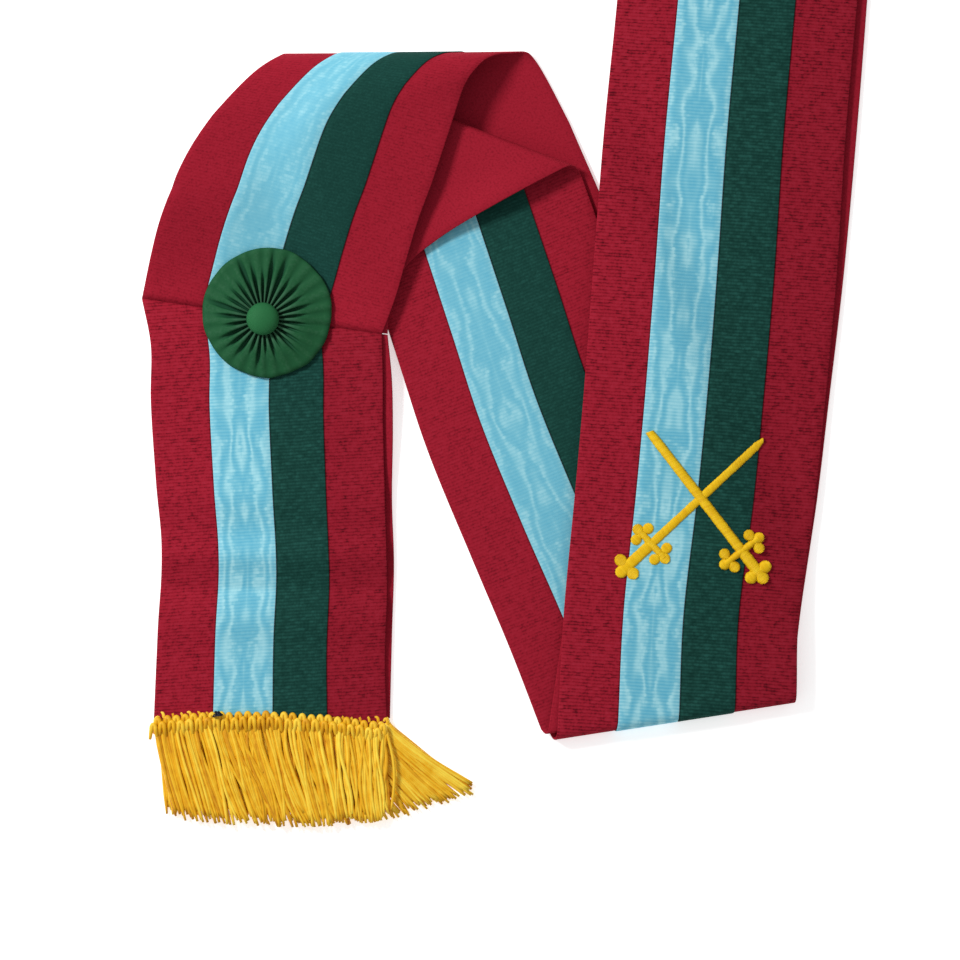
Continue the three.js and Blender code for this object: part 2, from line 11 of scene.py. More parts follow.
import bpy
import numpy as np
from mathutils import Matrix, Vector


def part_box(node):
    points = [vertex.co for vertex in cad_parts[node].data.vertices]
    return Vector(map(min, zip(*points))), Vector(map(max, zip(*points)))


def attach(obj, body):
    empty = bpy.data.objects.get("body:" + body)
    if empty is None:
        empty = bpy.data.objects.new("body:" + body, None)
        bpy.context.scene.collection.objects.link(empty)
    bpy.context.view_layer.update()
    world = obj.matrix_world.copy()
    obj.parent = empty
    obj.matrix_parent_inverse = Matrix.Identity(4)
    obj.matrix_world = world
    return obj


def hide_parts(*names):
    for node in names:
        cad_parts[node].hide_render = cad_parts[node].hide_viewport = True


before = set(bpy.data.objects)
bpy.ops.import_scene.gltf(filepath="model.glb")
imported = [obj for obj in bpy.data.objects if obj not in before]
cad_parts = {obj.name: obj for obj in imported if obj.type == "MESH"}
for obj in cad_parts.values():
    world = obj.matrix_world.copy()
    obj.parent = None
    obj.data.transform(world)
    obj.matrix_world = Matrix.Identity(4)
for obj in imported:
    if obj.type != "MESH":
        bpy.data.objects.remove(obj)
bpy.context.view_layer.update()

MM = 0.001

# Camera: it looks straight down, and its view is 400 mm wide on the floor.
VIEW_WIDTH = 400
VIEW_CENTRE = (-14.6, -112.9)
CAMERA_HEIGHT = 4000
SENSOR_WIDTH = 36

# Ribbon
RIBBON_WIDTH = 101.6
PLY = 1.8
LAYER_PITCH = 2.4
SHOULDER_PITCH = 2.7
BAND_OFFSETS = (-0.6, 0.1)
STRIPE_OFFSETS = (0.05, 0.5)
SKY_SHARES = (0.254, 0.5093)
GREEN_SHARES = (0.5107, 0.743)
CELLS_ACROSS = 32
LEG_STEP = 3
TAIL_STEP = 1.5
FOLD_STEPS = 10
ROLL_STEPS_A_ROW = 8
ROLL_FADE = 0.6
CROWN_REACH = 12
CROWN_PASSES = 30
EDGE_ROUNDING = 0.35
EDGE_THICKNESS = 0.5
SEAM_DIP = 0.6
SEAM_DIP_REACH = 1.3
RIPPLE_HEIGHT = 0.22

# Rise of the layers above one another
COVER_MARGIN = 6
COVER_FALL = 28
HUMP_LEFT = 16
HUMP_RIGHT = 4
TRIANGLE_PUFF = 4
TRIANGLE_PUFF_REACH = 26
TRIANGLE_EDGE = ((-35.3, -14.2), (21.3, 16.6))
TRIANGLE_LIFT = 3.6
TRIANGLE_LIFT_WIDTH = 10
TRIANGLE_LIFT_LENGTH = 24

# Rosette
ROSETTE = (-103.3, -43.3)
ROSETTE_RADIUS = 27
BUTTON = (-104.9, -45.9)
PLEATS = 28
PLEAT_HEIGHT = 5.2
PLEAT_PARTS = (0, 0.1, 0.17, 0.25, 0.33, 0.5, 0.67, 0.75, 0.83, 0.9)
PLEAT_WIDTHS = (0.82, 1.18)
RIM_REACH = (-0.5, 0.35)
# Gaps between pleats: half their width and the width of their sides, as shares of a pleat,
# their depth, and where on the radius they close: the least, the most and the likeliest.
PLEAT_GAP = 0.15
PLEAT_FLANK = 0.17
PLEAT_GAP_DEPTH = 0.55
PLEAT_CLOSES = (0.62, 1.12, 0.85)
RIM_CURL = [(0.96, 0.25), (0.985, 0.7), (1.0, 1.3), (0.99, 1.9), (0.96, 2.2)]
ROSETTE_GAP = 0.9
BUTTON_RADIUS = 6.8
BUTTON_HEIGHT = 5.4
BUTTON_RIM = 1.3
BUTTON_SIDES = 48

# Fringe
FRINGE_LENGTH = 45
STRAND_RADIUS = 0.72
STRAND_PITCH = 1.3
STRAND_POINTS = 17
CLUMP_WIDTH = 5.5
PILE_HEIGHT = 2.4
HEADING_PITCH = 3.9
HEADING_CORD_RADIUS = 1.0
HEADING_LOOP_REACH = 0.85
HEADING_FOOT_REACH = 1.5
HEADING_SINK = 2.6
HEADING_RISE = 1.5
HEADING_DROP = 5
# Rows of heading loops: shift along the heading in loops, distance down and up.
HEADING_ROWS = [(0.5, 0.0, 0.0), (0.0, 2.3, 0.55)]
MOST_DRIFT = 35
BACK_FRINGE_HIDDEN = 6
BACK_LEAN = 2
BACK_FAN = 33
FRONT_FOOT = -252.0
FRONT_FOOT_BOW = 3.2
FRONT_LEAN = ([0, 0.12, 0.35, 0.6, 0.8, 1], [8.5, 11.5, 12.5, 9.5, 5, 2])

# A snarl of dark thread on the front fringe, with its height
LOOSE_THREAD = (-124.2, -210.4, 7.0)
LOOSE_THREAD_RADIUS = 0.3

# Crossed swords
GRIP_WIDTH = 4.4
ARM_WIDTH = 2.6
LOBE_OVERLAP = 2.2
GUARD_LOBES = {"radius": 2.2, "aside": 3.4, "ahead": 2.6}
POMMEL_LOBES = {"radius": 2.5, "aside": 3.7, "ahead": 3.0}
STITCH_PITCH = 0.42
STITCH_RADIUS = 0.27
STITCH_RISE = 0.6
STITCH_SINK = 0.1
NECK_AT = 0.05
SWORDS = [
    {"tip": (55.8, -92.8), "pommel": (101.0, -151.2), "blade": 4.0, "point": 3.0, "rise": 0.6,
     "guard_at": 0.85, "reach": 6.4},
    {"tip": (103.3, -96.2), "pommel": (46.4, -149.0), "blade": 3.4, "point": 1.4, "rise": 0.0,
     "guard_at": 0.82, "reach": 5.6},
]

# Seeds of the random draws
SEEDS = {"loose_thread": 5, "rosette": 36, "swords": 7, "front_fringe": 11, "back_fringe": 12}

# Each leg of the ribbon is a table with a row per section, seen from above:
# left edge x, left edge y, right edge x, right edge y.
FRONT_STRAP = [
    (-155.4, -37.3, -55.4, -52.3),
    (-152.1, -22.1, -50.0, -37.9),
    (-148.3, -7.5, -45.4, -22.1),
    (-144.6, 2.9, -40.4, -5.4),
    (-142.1, 8.8, -33.5, 13.3),
    (-140.8, 13.3, -22.9, 45.8),
]
FRONT_UNDER = [
    (-78.8, 28.8, 22.5, 36.2),
    (-57.9, -26.2, 46.7, -20.4),
    (-20.8, -123.8, 81.7, -110.8),
    (13.8, -217.1, 114.6, -201.6),
]
FRONT_SHOULDER = [
    (17.6, -217.5, 117.1, -202.0),
    (20.2, -168.8, 117.9, -171.2),
    (25.0, -117.1, 124.6, -123.3),
    (28.3, -79.6, 129.2, -79.6),
    (32.1, -29.6, 133.8, -29.6),
    (36.7, 28.8, 137.5, 28.8),
    (42.5, 87.1, 142.5, 87.1),
    (50.0, 172.1, 150.0, 172.1),
    (57.1, 255.8, 157.5, 247.1),
]
BACK_SHOULDER = [
    (57.1, 255.8, 157.5, 247.1),
    (52.5, 172.1, 152.5, 172.1),
    (46.7, 87.1, 146.7, 87.1),
    (41.2, 28.8, 142.1, 28.8),
    (36.2, -29.6, 136.7, -29.6),
    (31.2, -79.6, 130.8, -79.6),
    (27.1, -117.1, 125.8, -121.2),
    (20.8, -168.8, 118.3, -171.2),
    (13.8, -217.1, 115.4, -201.7),
]
BACK_DIAGONAL = [
    (10.8, -216.7, 112.9, -201.4),
    (-2.1, -183.3, 91.2, -146.2),
    (-17.9, -145.8, 63.8, -87.1),
    (-36.7, -100.0, 51.7, -56.7),
    (-50.0, -59.2, 40.8, -23.3),
    (-87.9, 57.9, 27.5, 14.2),
]
BACK_STRAP = [
    (-95.4, 60.8, 20.0, 16.7),
    (-105.4, 46.5, -2.2, 5.0),
    (-119.6, 24.6, -31.2, -12.1),
    (-135.4, -2.5, -45.8, -24.6),
    (-147.9, -23.3, -51.8, -37.9),
    (-154.6, -37.1, -53.0, -52.1),
]
FRONT_TAIL = [
    (-155.4, -37.3, -55.4, -52.3),
    (-151.7, -56.7, -55.0, -71.2),
    (-151.7, -79.6, -55.0, -87.9),
    (-149.6, -112.5, -54.2, -121.2),
    (-147.1, -142.5, -53.3, -157.5),
    (-148.8, -176.2, -54.2, -187.9),
    (-150.4, -212.3, -53.3, -215.3),
]
BACK_TAIL = [
    (-154.6, -37.5, -53.0, -52.5),
    (-149.6, -56.7, -51.2, -71.2),
    (-149.6, -79.6, -50.8, -92.1),
    (-147.9, -112.5, -51.2, -121.2),
    (-145.4, -142.5, -50.4, -147.9),
    (-147.1, -176.2, -51.2, -176.2),
    (-148.8, -209.6, -52.1, -212.1),
]

# The front half's soft roll, from its crown over the edge to the floor:
# left edge x, y and height, right edge x, y and height of the ribbon's middle.
FRONT_ROLL = [
    (-132.9, 28.8, 20.6, -21.2, 51.2, 16.2),
    (-120.4, 44.2, 20.0, -16.7, 57.5, 15.6),
    (-107.1, 57.5, 16.8, -12.1, 62.1, 13.6),
    (-98.3, 63.3, 12.2, -6.7, 64.4, 10.2),
    (-95.4, 64.4, 7.2, -1.2, 65.0, 6.4),
    (-93.8, 63.3, 3.2, 5.2, 65.2, 3.2),
    (-91.7, 60.4, 1.2, 8.3, 62.1, 1.3),
    (-88.3, 53.8, 0.9, 12.5, 55.4, 0.9),
]

# Creases across the front tail: distance from the tail's top, height and reach.
TAIL_CREASES = [
    (84, 1.4, 10),
    (107, 2.4, 7),
    (121, -0.7, 2.2),
    (133, 1.6, 9),
]

# Where the tables' zero lies in the solids' frame, from the button's place.
BUTTON_LOW, BUTTON_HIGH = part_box("rosette_button")
SHIFT = ((BUTTON_LOW + BUTTON_HIGH) / 2 / MM - Vector((*BUTTON, 0))) * Vector((1, 1, 0))


def stand(name, data, place=(0, 0, 0)):
    """Puts a camera, a lamp or a mesh in the scene, at a place in metres."""
    held = bpy.data.objects.new(name, data)
    held.location = place
    bpy.context.scene.collection.objects.link(held)
    return held


def place_camera():
    """Straight above the middle of the photo's view, as the photo was taken."""
    camera = bpy.data.cameras.new("camera")
    camera.sensor_width = SENSOR_WIDTH
    camera.lens = SENSOR_WIDTH * CAMERA_HEIGHT / VIEW_WIDTH
    camera.clip_start = 0.05
    camera.clip_end = 20
    place = (Vector((*VIEW_CENTRE, CAMERA_HEIGHT)) + SHIFT) * MM
    bpy.context.scene.camera = stand("camera", camera, place)


place_camera()


# Shape of the ribbon


def smooth_fade(value):
    """0 to 1 in an S-shaped curve, for a number or an array."""
    t = np.clip(value, 0, 1)
    return t * t * (3 - 2 * t)


def leg_outline(rows):
    """Plan outline of a leg, from its first and last rows, as four corners."""
    first, last = rows[0], rows[-1]
    return [first[:2], first[2:], last[2:], last[:2]]


def beyond_row(row, x, y):
    """Signed distance of points beyond the line through a row's two edges."""
    length = math.hypot(row[2] - row[0], row[3] - row[1])
    return ((row[2] - row[0]) * (y - row[1]) - (row[3] - row[1]) * (x - row[0])) / length


def distance_outside(outline, x, y):
    """How far points lie outside a convex outline."""
    centre = np.mean(outline, axis=0)
    distance = np.full(np.shape(x), -np.inf)
    for start, end in zip(outline, outline[1:] + outline[:1]):
        side = (*start, *end)
        outwards = -np.sign(beyond_row(side, *centre))
        distance = np.maximum(distance, beyond_row(side, x, y) * outwards)
    return distance


def cover(outline, x, y):
    """1 over a leg, falling softly to 0 beside it."""
    return 1 - smooth_fade((distance_outside(outline, x, y) - COVER_MARGIN) / COVER_FALL)


UNDER_OUTLINE = leg_outline(FRONT_UNDER)
DIAGONAL_OUTLINE = leg_outline(BACK_DIAGONAL)


def ripple(x, y):
    """Slow waves that the cloth keeps, the same in every layer."""
    along = np.sin(y / 13.0 + np.sin(x / 31.0)) * np.sin(x / 23.0 - y / 47.0 + 1.1)
    return RIPPLE_HEIGHT * (1 + along)


def over_diagonal(x, y):
    """Height of the two diagonal layers as they lift what lies across them."""
    return LAYER_PITCH * (cover(UNDER_OUTLINE, x, y) + cover(DIAGONAL_OUTLINE, x, y))


def floor_height(x, y):
    return PLY / 2 + ripple(x, y)


def diagonal_height(x, y):
    return PLY / 2 + LAYER_PITCH + ripple(x, y)


def triangle_lift(x, y):
    """The triangle's free lower edge stands up a little, most at its middle."""
    start, end = np.array(TRIANGLE_EDGE)
    middle, heading = (start + end) / 2, (end - start) / np.linalg.norm(end - start)
    along = ((x - middle[0]) * heading[0] + (y - middle[1]) * heading[1]) / TRIANGLE_LIFT_LENGTH
    across = ((y - middle[1]) * heading[0] - (x - middle[0]) * heading[1]) / TRIANGLE_LIFT_WIDTH
    return TRIANGLE_LIFT * np.exp(-along * along - across * across)


def back_strap_height(x, y):
    """The back half where it runs from its fold to the rosette."""
    from_fold = beyond_row(BACK_STRAP[0], x, y) / TRIANGLE_PUFF_REACH
    puff = TRIANGLE_PUFF * np.exp(-from_fold * from_fold)
    return PLY / 2 + over_diagonal(x, y) + puff + triangle_lift(x, y) + ripple(x, y)


def seam_dip(x, y):
    """The stitched-in valley where the loop and the front tail meet."""
    from_seam = beyond_row(FRONT_STRAP[0], x, y) / SEAM_DIP_REACH
    return SEAM_DIP * np.exp(-from_seam * from_seam)


def front_strap_height(x, y):
    """The front half from its tail to the crown of its roll."""
    from_seam = np.maximum(beyond_row(FRONT_STRAP[0], x, y), 0)
    crown = FRONT_STRAP[-1]
    to_crown = np.maximum(-beyond_row(crown, x, y), 0)
    across = np.clip((x - crown[0]) / (crown[2] - crown[0]), 0, 1)
    hump = HUMP_LEFT + (HUMP_RIGHT - HUMP_LEFT) * across
    rise = hump * smooth_fade(from_seam / (from_seam + to_crown + 1e-6))
    return back_strap_height(x, y) + LAYER_PITCH + rise - seam_dip(x, y)


def front_tail_height(x, y):
    down = FRONT_TAIL[0][1] - y
    creases = sum(h * np.exp(-(((down - at) / reach) ** 2)) for at, h, reach in TAIL_CREASES)
    return front_strap_height(x, y) + creases


def back_shoulder_height(x, y):
    return PLY / 2 + over_diagonal(x, y) + ripple(x, y)


def front_shoulder_height(x, y):
    return back_shoulder_height(x, y) + SHOULDER_PITCH


def through(points, row, weights):
    """Centripetal Catmull-Rom curve between a row and the next, at weights 0 to 1."""
    points = np.asarray(points, float)
    p1, p2 = points[row], points[row + 1]
    p0 = points[row - 1] if row > 0 else 2 * p1 - p2
    p3 = points[row + 2] if row + 2 < len(points) else 2 * p2 - p1
    d0, d1, d2 = (math.sqrt(np.linalg.norm(b - a)) for a, b in ((p0, p1), (p1, p2), (p2, p3)))
    leave = ((p1 - p0) / d0 - (p2 - p0) / (d0 + d1) + (p2 - p1) / d1) * d1
    arrive = ((p2 - p1) / d1 - (p3 - p1) / (d1 + d2) + (p3 - p2) / d2) * d1
    w = np.asarray(weights)[:, None]
    square = -3 * p1 + 3 * p2 - 2 * leave - arrive
    cube = 2 * p1 - 2 * p2 + leave + arrive
    return p1 + leave * w + square * w**2 + cube * w**3


def lines_across(left, right):
    """Evenly spaced points on the straight lines between the two edges of a leg."""
    share = np.linspace(0, 1, CELLS_ACROSS + 1)[None, :, None]
    return left[:, None] * (1 - share) + right[:, None] * share


def lay_leg(rows, height, step=LEG_STEP):
    """Sections of a leg that drapes over what is below it: an array of lines across."""
    rows = np.asarray(rows, float)
    left_edge, right_edge = rows[:, :2], rows[:, 2:]
    lefts, rights = [], []
    for row in range(len(rows) - 1):
        lengths = [np.linalg.norm(edge[row + 1] - edge[row]) for edge in (left_edge, right_edge)]
        spans = max(2, round(max(lengths) / step))
        weights = np.arange(spans + (row == len(rows) - 2)) / spans
        lefts.append(through(left_edge, row, weights))
        rights.append(through(right_edge, row, weights))
    plan = lines_across(np.concatenate(lefts), np.concatenate(rights))
    z = height(plan[..., 0], plan[..., 1])
    return np.concatenate([plan, z[..., None]], axis=2)


def roll_leg(crown, rows, foot):
    """Sections of the roll, through its own table of heights."""
    ends = [[*line[0], *line[-1]] for line in (crown, foot)]
    table = np.array([ends[0], *rows, ends[1]], float)
    weights = np.arange(ROLL_STEPS_A_ROW) / ROLL_STEPS_A_ROW
    rows_to_next = range(len(table) - 1)
    left, right = (
        np.concatenate([through(edge, row, weights) for row in rows_to_next])[1:]
        for edge in (table[:, :3], table[:, 3:])
    )
    for edge in (left, right):
        edge[:, 2] = np.maximum(edge[:, 2], PLY / 2)
    sections = lines_across(left, right)
    straight = np.linspace(crown[0, 2], crown[-1, 2], CELLS_ACROSS + 1)
    fading = 1 - smooth_fade(np.arange(1, len(left) + 1) / (len(left) * ROLL_FADE))
    sections[..., 2] += fading[:, None] * (crown[:, 2] - straight)[None, :]
    return sections


def fold_over(start, end, outward):
    """Half a turn from one leg's last section to the next leg's first."""
    radius = abs(end[0, 2] - start[0, 2]) / 2
    along = (np.arange(1, FOLD_STEPS) / FOLD_STEPS)[:, None, None]
    turn = np.pi * along[..., 0]
    sections = start[None] * (1 - along) + end[None] * along
    sections[..., 0] += outward[0] * radius * np.sin(turn)
    sections[..., 1] += outward[1] * radius * np.sin(turn)
    middle, half = (start[:, 2] + end[:, 2]) / 2, (start[:, 2] - end[:, 2]) / 2
    sections[..., 2] = middle[None] + half[None] * np.cos(turn)
    return sections


def square_to(row, side):
    """Unit direction square to a row, on the given side (+1 or -1)."""
    length = math.hypot(row[2] - row[0], row[3] - row[1])
    return -side * (row[3] - row[1]) / length, side * (row[2] - row[0]) / length


def soften(sections, middle, reach, passes):
    """Rounds off a joint: each section near it moves towards its neighbours, again and again."""
    first, last = middle - reach, middle + reach
    for _ in range(passes):
        between = (sections[first - 1 : last - 1] + sections[first + 1 : last + 1]) / 2
        sections[first:last] = (sections[first:last] + between) / 2
    return sections


def loop_legs():
    """The loop's legs, from the front seam round to the back seam.

    Each comes with the share of its length where its ribs are square to its
    edges, and with how plainly the ribs show there in the photo.
    """
    strap = lay_leg(FRONT_STRAP, front_strap_height)
    under = lay_leg(FRONT_UNDER, floor_height)
    rolled = np.concatenate([strap, roll_leg(strap[-1], FRONT_ROLL, under[0]), under])
    front_shoulder = lay_leg(FRONT_SHOULDER, front_shoulder_height)
    back_shoulder = lay_leg(BACK_SHOULDER, back_shoulder_height)
    diagonal = lay_leg(BACK_DIAGONAL, diagonal_height)
    back_strap = lay_leg(BACK_STRAP, back_strap_height)
    lower_fold = fold_over(under[-1], front_shoulder[0], square_to(FRONT_SHOULDER[0], -1))
    shoulder_fold = fold_over(front_shoulder[-1], back_shoulder[0], square_to(BACK_SHOULDER[0], 1))
    inner_fold = fold_over(back_shoulder[-1], diagonal[0], square_to(BACK_DIAGONAL[0], -1))
    upper_fold = fold_over(diagonal[-1], back_strap[0], square_to(BACK_STRAP[0], 1))
    return [
        (soften(rolled, len(strap), CROWN_REACH, CROWN_PASSES), 0.04, 0.3),
        (np.concatenate([lower_fold, front_shoulder]), 0.5, 1.0),
        (np.concatenate([shoulder_fold, back_shoulder]), 0.5, 1.0),
        (np.concatenate([inner_fold, diagonal]), 0.5, 0.5),
        (np.concatenate([upper_fold, back_strap]), 0.5, 0.5),
    ]


def face_normals(sections):
    """Unit normals of the ribbon's face at every point of its sections."""
    travel = np.gradient(sections, axis=0)
    across = np.gradient(sections, axis=1)
    normals = np.cross(across, travel)
    return normals / np.linalg.norm(normals, axis=2, keepdims=True)


def cloth_lengths(legs):
    """Distance along the cloth at every point of a ribbon.

    Each leg is measured column by column, from the section where its ribs are
    square to its edges.
    """
    centre = CELLS_ACROSS // 2
    lengths, start = [], 0.0
    for sections, square_at, _ in legs:
        steps = np.linalg.norm(np.diff(sections, axis=0), axis=2)
        columns = np.concatenate([np.zeros((1, CELLS_ACROSS + 1)), np.cumsum(steps, axis=0)])
        at = max(1, round(square_at * (len(sections) - 2)))
        travel = sections[at + 1, centre] - sections[at - 1, centre]
        skew = (sections[at] - sections[at, centre]) @ travel / np.linalg.norm(travel)
        lengths.append(start + columns[at, centre] + skew + columns - columns[at])
        start += columns[-1, centre]
    return np.concatenate(lengths), start


def across_at(array, shares):
    """Values of an array of sections at shares of the width."""
    place = np.clip(np.asarray(shares) * CELLS_ACROSS, 0, CELLS_ACROSS - 1e-9)
    cell = place.astype(int)
    part = (place - cell)[None, :, None]
    return array[:, cell] * (1 - part) + array[:, cell + 1] * part


def add_mesh(name, points, faces, material, **uv_layers):
    """A smooth mesh piece from points in the tables' frame, in millimetres, with its UV layers."""
    mesh = bpy.data.meshes.new(name)
    placed = (np.asarray(points, float) + np.array(SHIFT)) * MM
    mesh.from_pydata(placed.tolist(), [], faces)
    corner_vertex = np.zeros(len(mesh.loops), int)
    mesh.loops.foreach_get("vertex_index", corner_vertex)
    for layer_name, uv in uv_layers.items():
        layer = mesh.uv_layers.new(name=layer_name)
        layer.data.foreach_set("uv", np.asarray(uv, float)[corner_vertex].ravel())
    mesh.polygons.foreach_set("use_smooth", [True] * len(mesh.polygons))
    mesh.materials.append(material)
    mesh.validate()
    mesh.update()
    return stand(name, mesh)


def ring_faces(rings, around):
    """Quads between each ring of points and the next."""
    faces = []
    for i in range(rings - 1):
        for k in range(around):
            a = i * around + k
            b = i * around + (k + 1) % around
            faces.append((a, b, b + around, a + around))
    return faces


def end_caps(start, rings, around):
    """The two faces that close a tube of rings."""
    last = start + (rings - 1) * around
    return [tuple(start + k for k in reversed(range(around))), tuple(last + k for k in range(around))]


def strip_profile(shares, offsets):
    """Columns across a strip, and how far its back and its front lie off the ribbon's middle."""
    first, last = shares
    back, front = offsets
    edge = EDGE_ROUNDING / RIBBON_WIDTH
    cells = round((last - first) * CELLS_ACROSS)
    columns = np.concatenate([[first], np.linspace(first + edge, last - edge, cells + 1), [last]])
    middle = (back + front) / 2
    thickness = np.ones(len(columns))
    thickness[[0, -1]] = EDGE_THICKNESS
    return columns, middle + (back - middle) * thickness, middle + (front - middle) * thickness


def value_pairs(first, second):
    """Two arrays over a strip's rings, spread over all its points as pairs."""
    return np.stack(np.broadcast_arrays(first, second), axis=2).reshape(-1, 2)


def strip_layers(legs, columns):
    """The strip's two UV layers, over its back from left to right and its face from right to left."""
    along = across_at(cloth_lengths(legs)[0][..., None], columns)[..., 0]
    along = np.concatenate([along, along[:, ::-1]], axis=1)
    across = np.concatenate([columns, columns[::-1]])[None, :] * RIBBON_WIDTH
    shown = np.concatenate([np.full((len(leg), 1), plainly) for leg, _, plainly in legs])
    side_share = np.repeat([[BACK_RIB_SHARE, 1.0]], len(columns), axis=1)
    on_face = np.repeat([[0.0, 1.0]], len(columns), axis=1)
    depth = shown * side_share
    return {"cloth_mm": value_pairs(across, along), "rib_depth": value_pairs(depth, on_face)}


def ribbon_strip(name, legs, shares, offsets, material):
    """A closed strip of ribbon between two shares of the width, with rounded edges.

    Layer cloth_mm holds the place across and along the cloth in millimetres.
    Layer rib_depth holds how plainly the ribs show, which is little on the back,
    and beside it 1 on the ribbon's face and 0 on its back.
    """
    sections = np.concatenate([leg for leg, _, _ in legs])
    columns, backs, fronts = strip_profile(shares, offsets)
    ground = across_at(sections, columns)
    facing = across_at(face_normals(sections), columns)
    facing /= np.linalg.norm(facing, axis=2, keepdims=True)
    lower = ground + facing * backs[None, :, None]
    upper = ground + facing * fronts[None, :, None]
    rings = np.concatenate([lower, upper[:, ::-1]], axis=1)
    count, around = rings.shape[:2]
    faces = ring_faces(count, around)
    end = (count - 1) * around
    for k in range(len(columns) - 1):
        mirror = around - 1 - k
        faces.append((k + 1, k, mirror, mirror - 1))
        faces.append((end + k, end + k + 1, end + mirror - 1, end + mirror))
    return add_mesh(name, rings.reshape(-1, 3), faces, material, **strip_layers(legs, columns))


def tubes(name, paths, radii, tones, material, sides=6):
    """Many round threads in one mesh: a path, a radius and a tone for each, with closed ends.

    Their UV layer holds each thread's tone and the distance along it.
    """
    points, faces, uv = [], [], []
    angles = np.arange(sides) * 2 * np.pi / sides
    for number, path in enumerate(paths):
        path = np.asarray(path, float)
        travel = np.gradient(path, axis=0)
        travel /= np.linalg.norm(travel, axis=1, keepdims=True)
        side = np.cross(travel, (0.0, 0.0, 1.0))
        side /= np.maximum(np.linalg.norm(side, axis=1, keepdims=True), 1e-9)
        up = np.cross(side, travel)
        radius = np.broadcast_to(radii[number], len(path))[:, None, None]
        aside = np.cos(angles)[None, :, None] * side[:, None]
        above = np.sin(angles)[None, :, None] * up[:, None]
        rings = path[:, None] + radius * (aside + above)
        start = len(points)
        points.extend(rings.reshape(-1, 3))
        along = np.concatenate([[0], np.cumsum(np.linalg.norm(np.diff(path, axis=0), axis=1))])
        uv.extend((tones[number], distance) for distance in along for _ in angles)
        faces.extend(tuple(start + v for v in face) for face in ring_faces(len(path), sides))
        faces.extend(end_caps(start, len(path), sides))
    return add_mesh(name, points, faces, material, cloth_mm=uv)


# Materials


def colour(code):
    """Linear colour, with alpha, from an sRGB hex code."""
    parts = [int(code[i : i + 2], 16) / 255 for i in (1, 3, 5)]
    return (*(p / 12.92 if p <= 0.04045 else ((p + 0.055) / 1.055) ** 2.4 for p in parts), 1.0)


def add(tree, kind, inputs=None, **settings):
    """Adds a node: its settings, and its inputs as numbers, colours or other nodes' outputs."""
    made = tree.nodes.new("ShaderNode" + kind)
    for name, value in settings.items():
        setattr(made, name, value)
    for socket, value in (inputs or {}).items():
        if isinstance(value, bpy.types.NodeSocket):
            tree.links.new(value, made.inputs[socket])
        else:
            made.inputs[socket].default_value = value
    return made


def new_material(name, roughness, specular, **surface):
    """A material with its node tree and its main shader, set from the given values."""
    material = bpy.data.materials.new(name)
    material.use_nodes = True
    tree = material.node_tree
    tree.nodes.clear()
    finish = {"Roughness": roughness, "Specular IOR Level": specular, **surface}
    shader = add(tree, "BsdfPrincipled", finish)
    add(tree, "OutputMaterial", {"Surface": shader.outputs[0]})
    return material, tree, shader


# Cross ribs of the ribbons: 18 to the inch, as in the photo.
RIB_PITCH = 1.4
RIB_WANDER = 0.8
RIB_WANDER_GRAIN = 0.06
BACK_RIB_SHARE = 0.2

# How far the ribs (painted shade in their gaps, a painted highlight on their crowns), the uneven
# threads along them and the fine weave change the tone of grosgrain, and the length of the uneven
# stretches of its threads and of the silk's.
RIB_SHADE_CONTRAST = 0.4
THREAD_CONTRAST = 1.6
WEAVE_CONTRAST = 0.8
THREAD_STRETCH = 3.2
SILK_STRETCH = 2.6

# The dark line between stripes, partly their stitching and partly painted shadow of the stripe's edge: how
# far it reaches, and its shade of the ribbon's tone.
SEAM_REACH = 0.9
SEAM_SHADE = 0.4

# Shares at which the ribs show: between the first two the right border goes from its full tone
# to its painted shade, and between the other two the watermarks go from faint to full.
BORDER_SHADE_RIBS = (0.5, 0.8)
MARKED_RIBS = (0.3, 0.8)
FAINT_MARKS = 0.4
PALE_EDGE = 3.2

# Fineness of the grain: in the weave for each millimetre, in thread and in pleated cloth
# for each metre.
WEAVE_GRAIN = 1.1
THREAD_GRAIN = 260.0
CLOTH_GRAIN = 900.0


def sums(tree, operation, *values):
    """Output of a Math node, with its inputs in order."""
    return add(tree, "Math", dict(enumerate(values)), operation=operation).outputs[0]


def noise(tree, place, scale, detail=2.0):
    """Soft random values about one half."""
    return add(tree, "TexNoise", {"Vector": place, "Scale": scale, "Detail": detail}).outputs[0]


def layer_values(tree, layer):
    """The two values of one of the mesh's UV layers."""
    parts = add(tree, "SeparateXYZ", {0: add(tree, "UVMap", uv_map=layer).outputs[0]})
    return parts.outputs[0], parts.outputs[1]


def raise_surface(tree, shader, height, strength, depth):
    """Shades the surface as if it were raised by a height."""
    bump = add(tree, "Bump", {"Height": height, "Strength": strength, "Distance": depth * MM})
    tree.links.new(bump.outputs[0], shader.inputs["Normal"])


def around_half(tree, value, gain):
    """A value's swing about one half, made larger or smaller."""
    return sums(tree, "MULTIPLY", sums(tree, "SUBTRACT", value, 0.5), gain)


def cross_ribs(tree):
    """Height of the ribs (0 in a gap, 1 on a crown), the rib's number, and the place on the cloth."""
    across, along = layer_values(tree, "cloth_mm")
    flat = add(tree, "CombineXYZ", {0: across, 1: along}).outputs[0]
    wave = noise(tree, flat, RIB_WANDER_GRAIN, 1.0)
    count = sums(tree, "DIVIDE", sums(tree, "MULTIPLY_ADD", wave, RIB_WANDER, along), RIB_PITCH)
    number = sums(tree, "FLOOR", count)
    wave = sums(tree, "COSINE", sums(tree, "MULTIPLY", count, 2 * math.pi))
    return sums(tree, "MULTIPLY_ADD", wave, -0.5, 0.5), number, across, flat


def thread_dashes(tree, number, across, length):
    """Uneven brightness along each rib, different from one rib to the next."""
    spread = sums(tree, "DIVIDE", across, length)
    apart = sums(tree, "MULTIPLY", number, 7.31)
    place = add(tree, "CombineXYZ", {0: spread, 1: apart}).outputs[0]
    return noise(tree, place, 1.0)


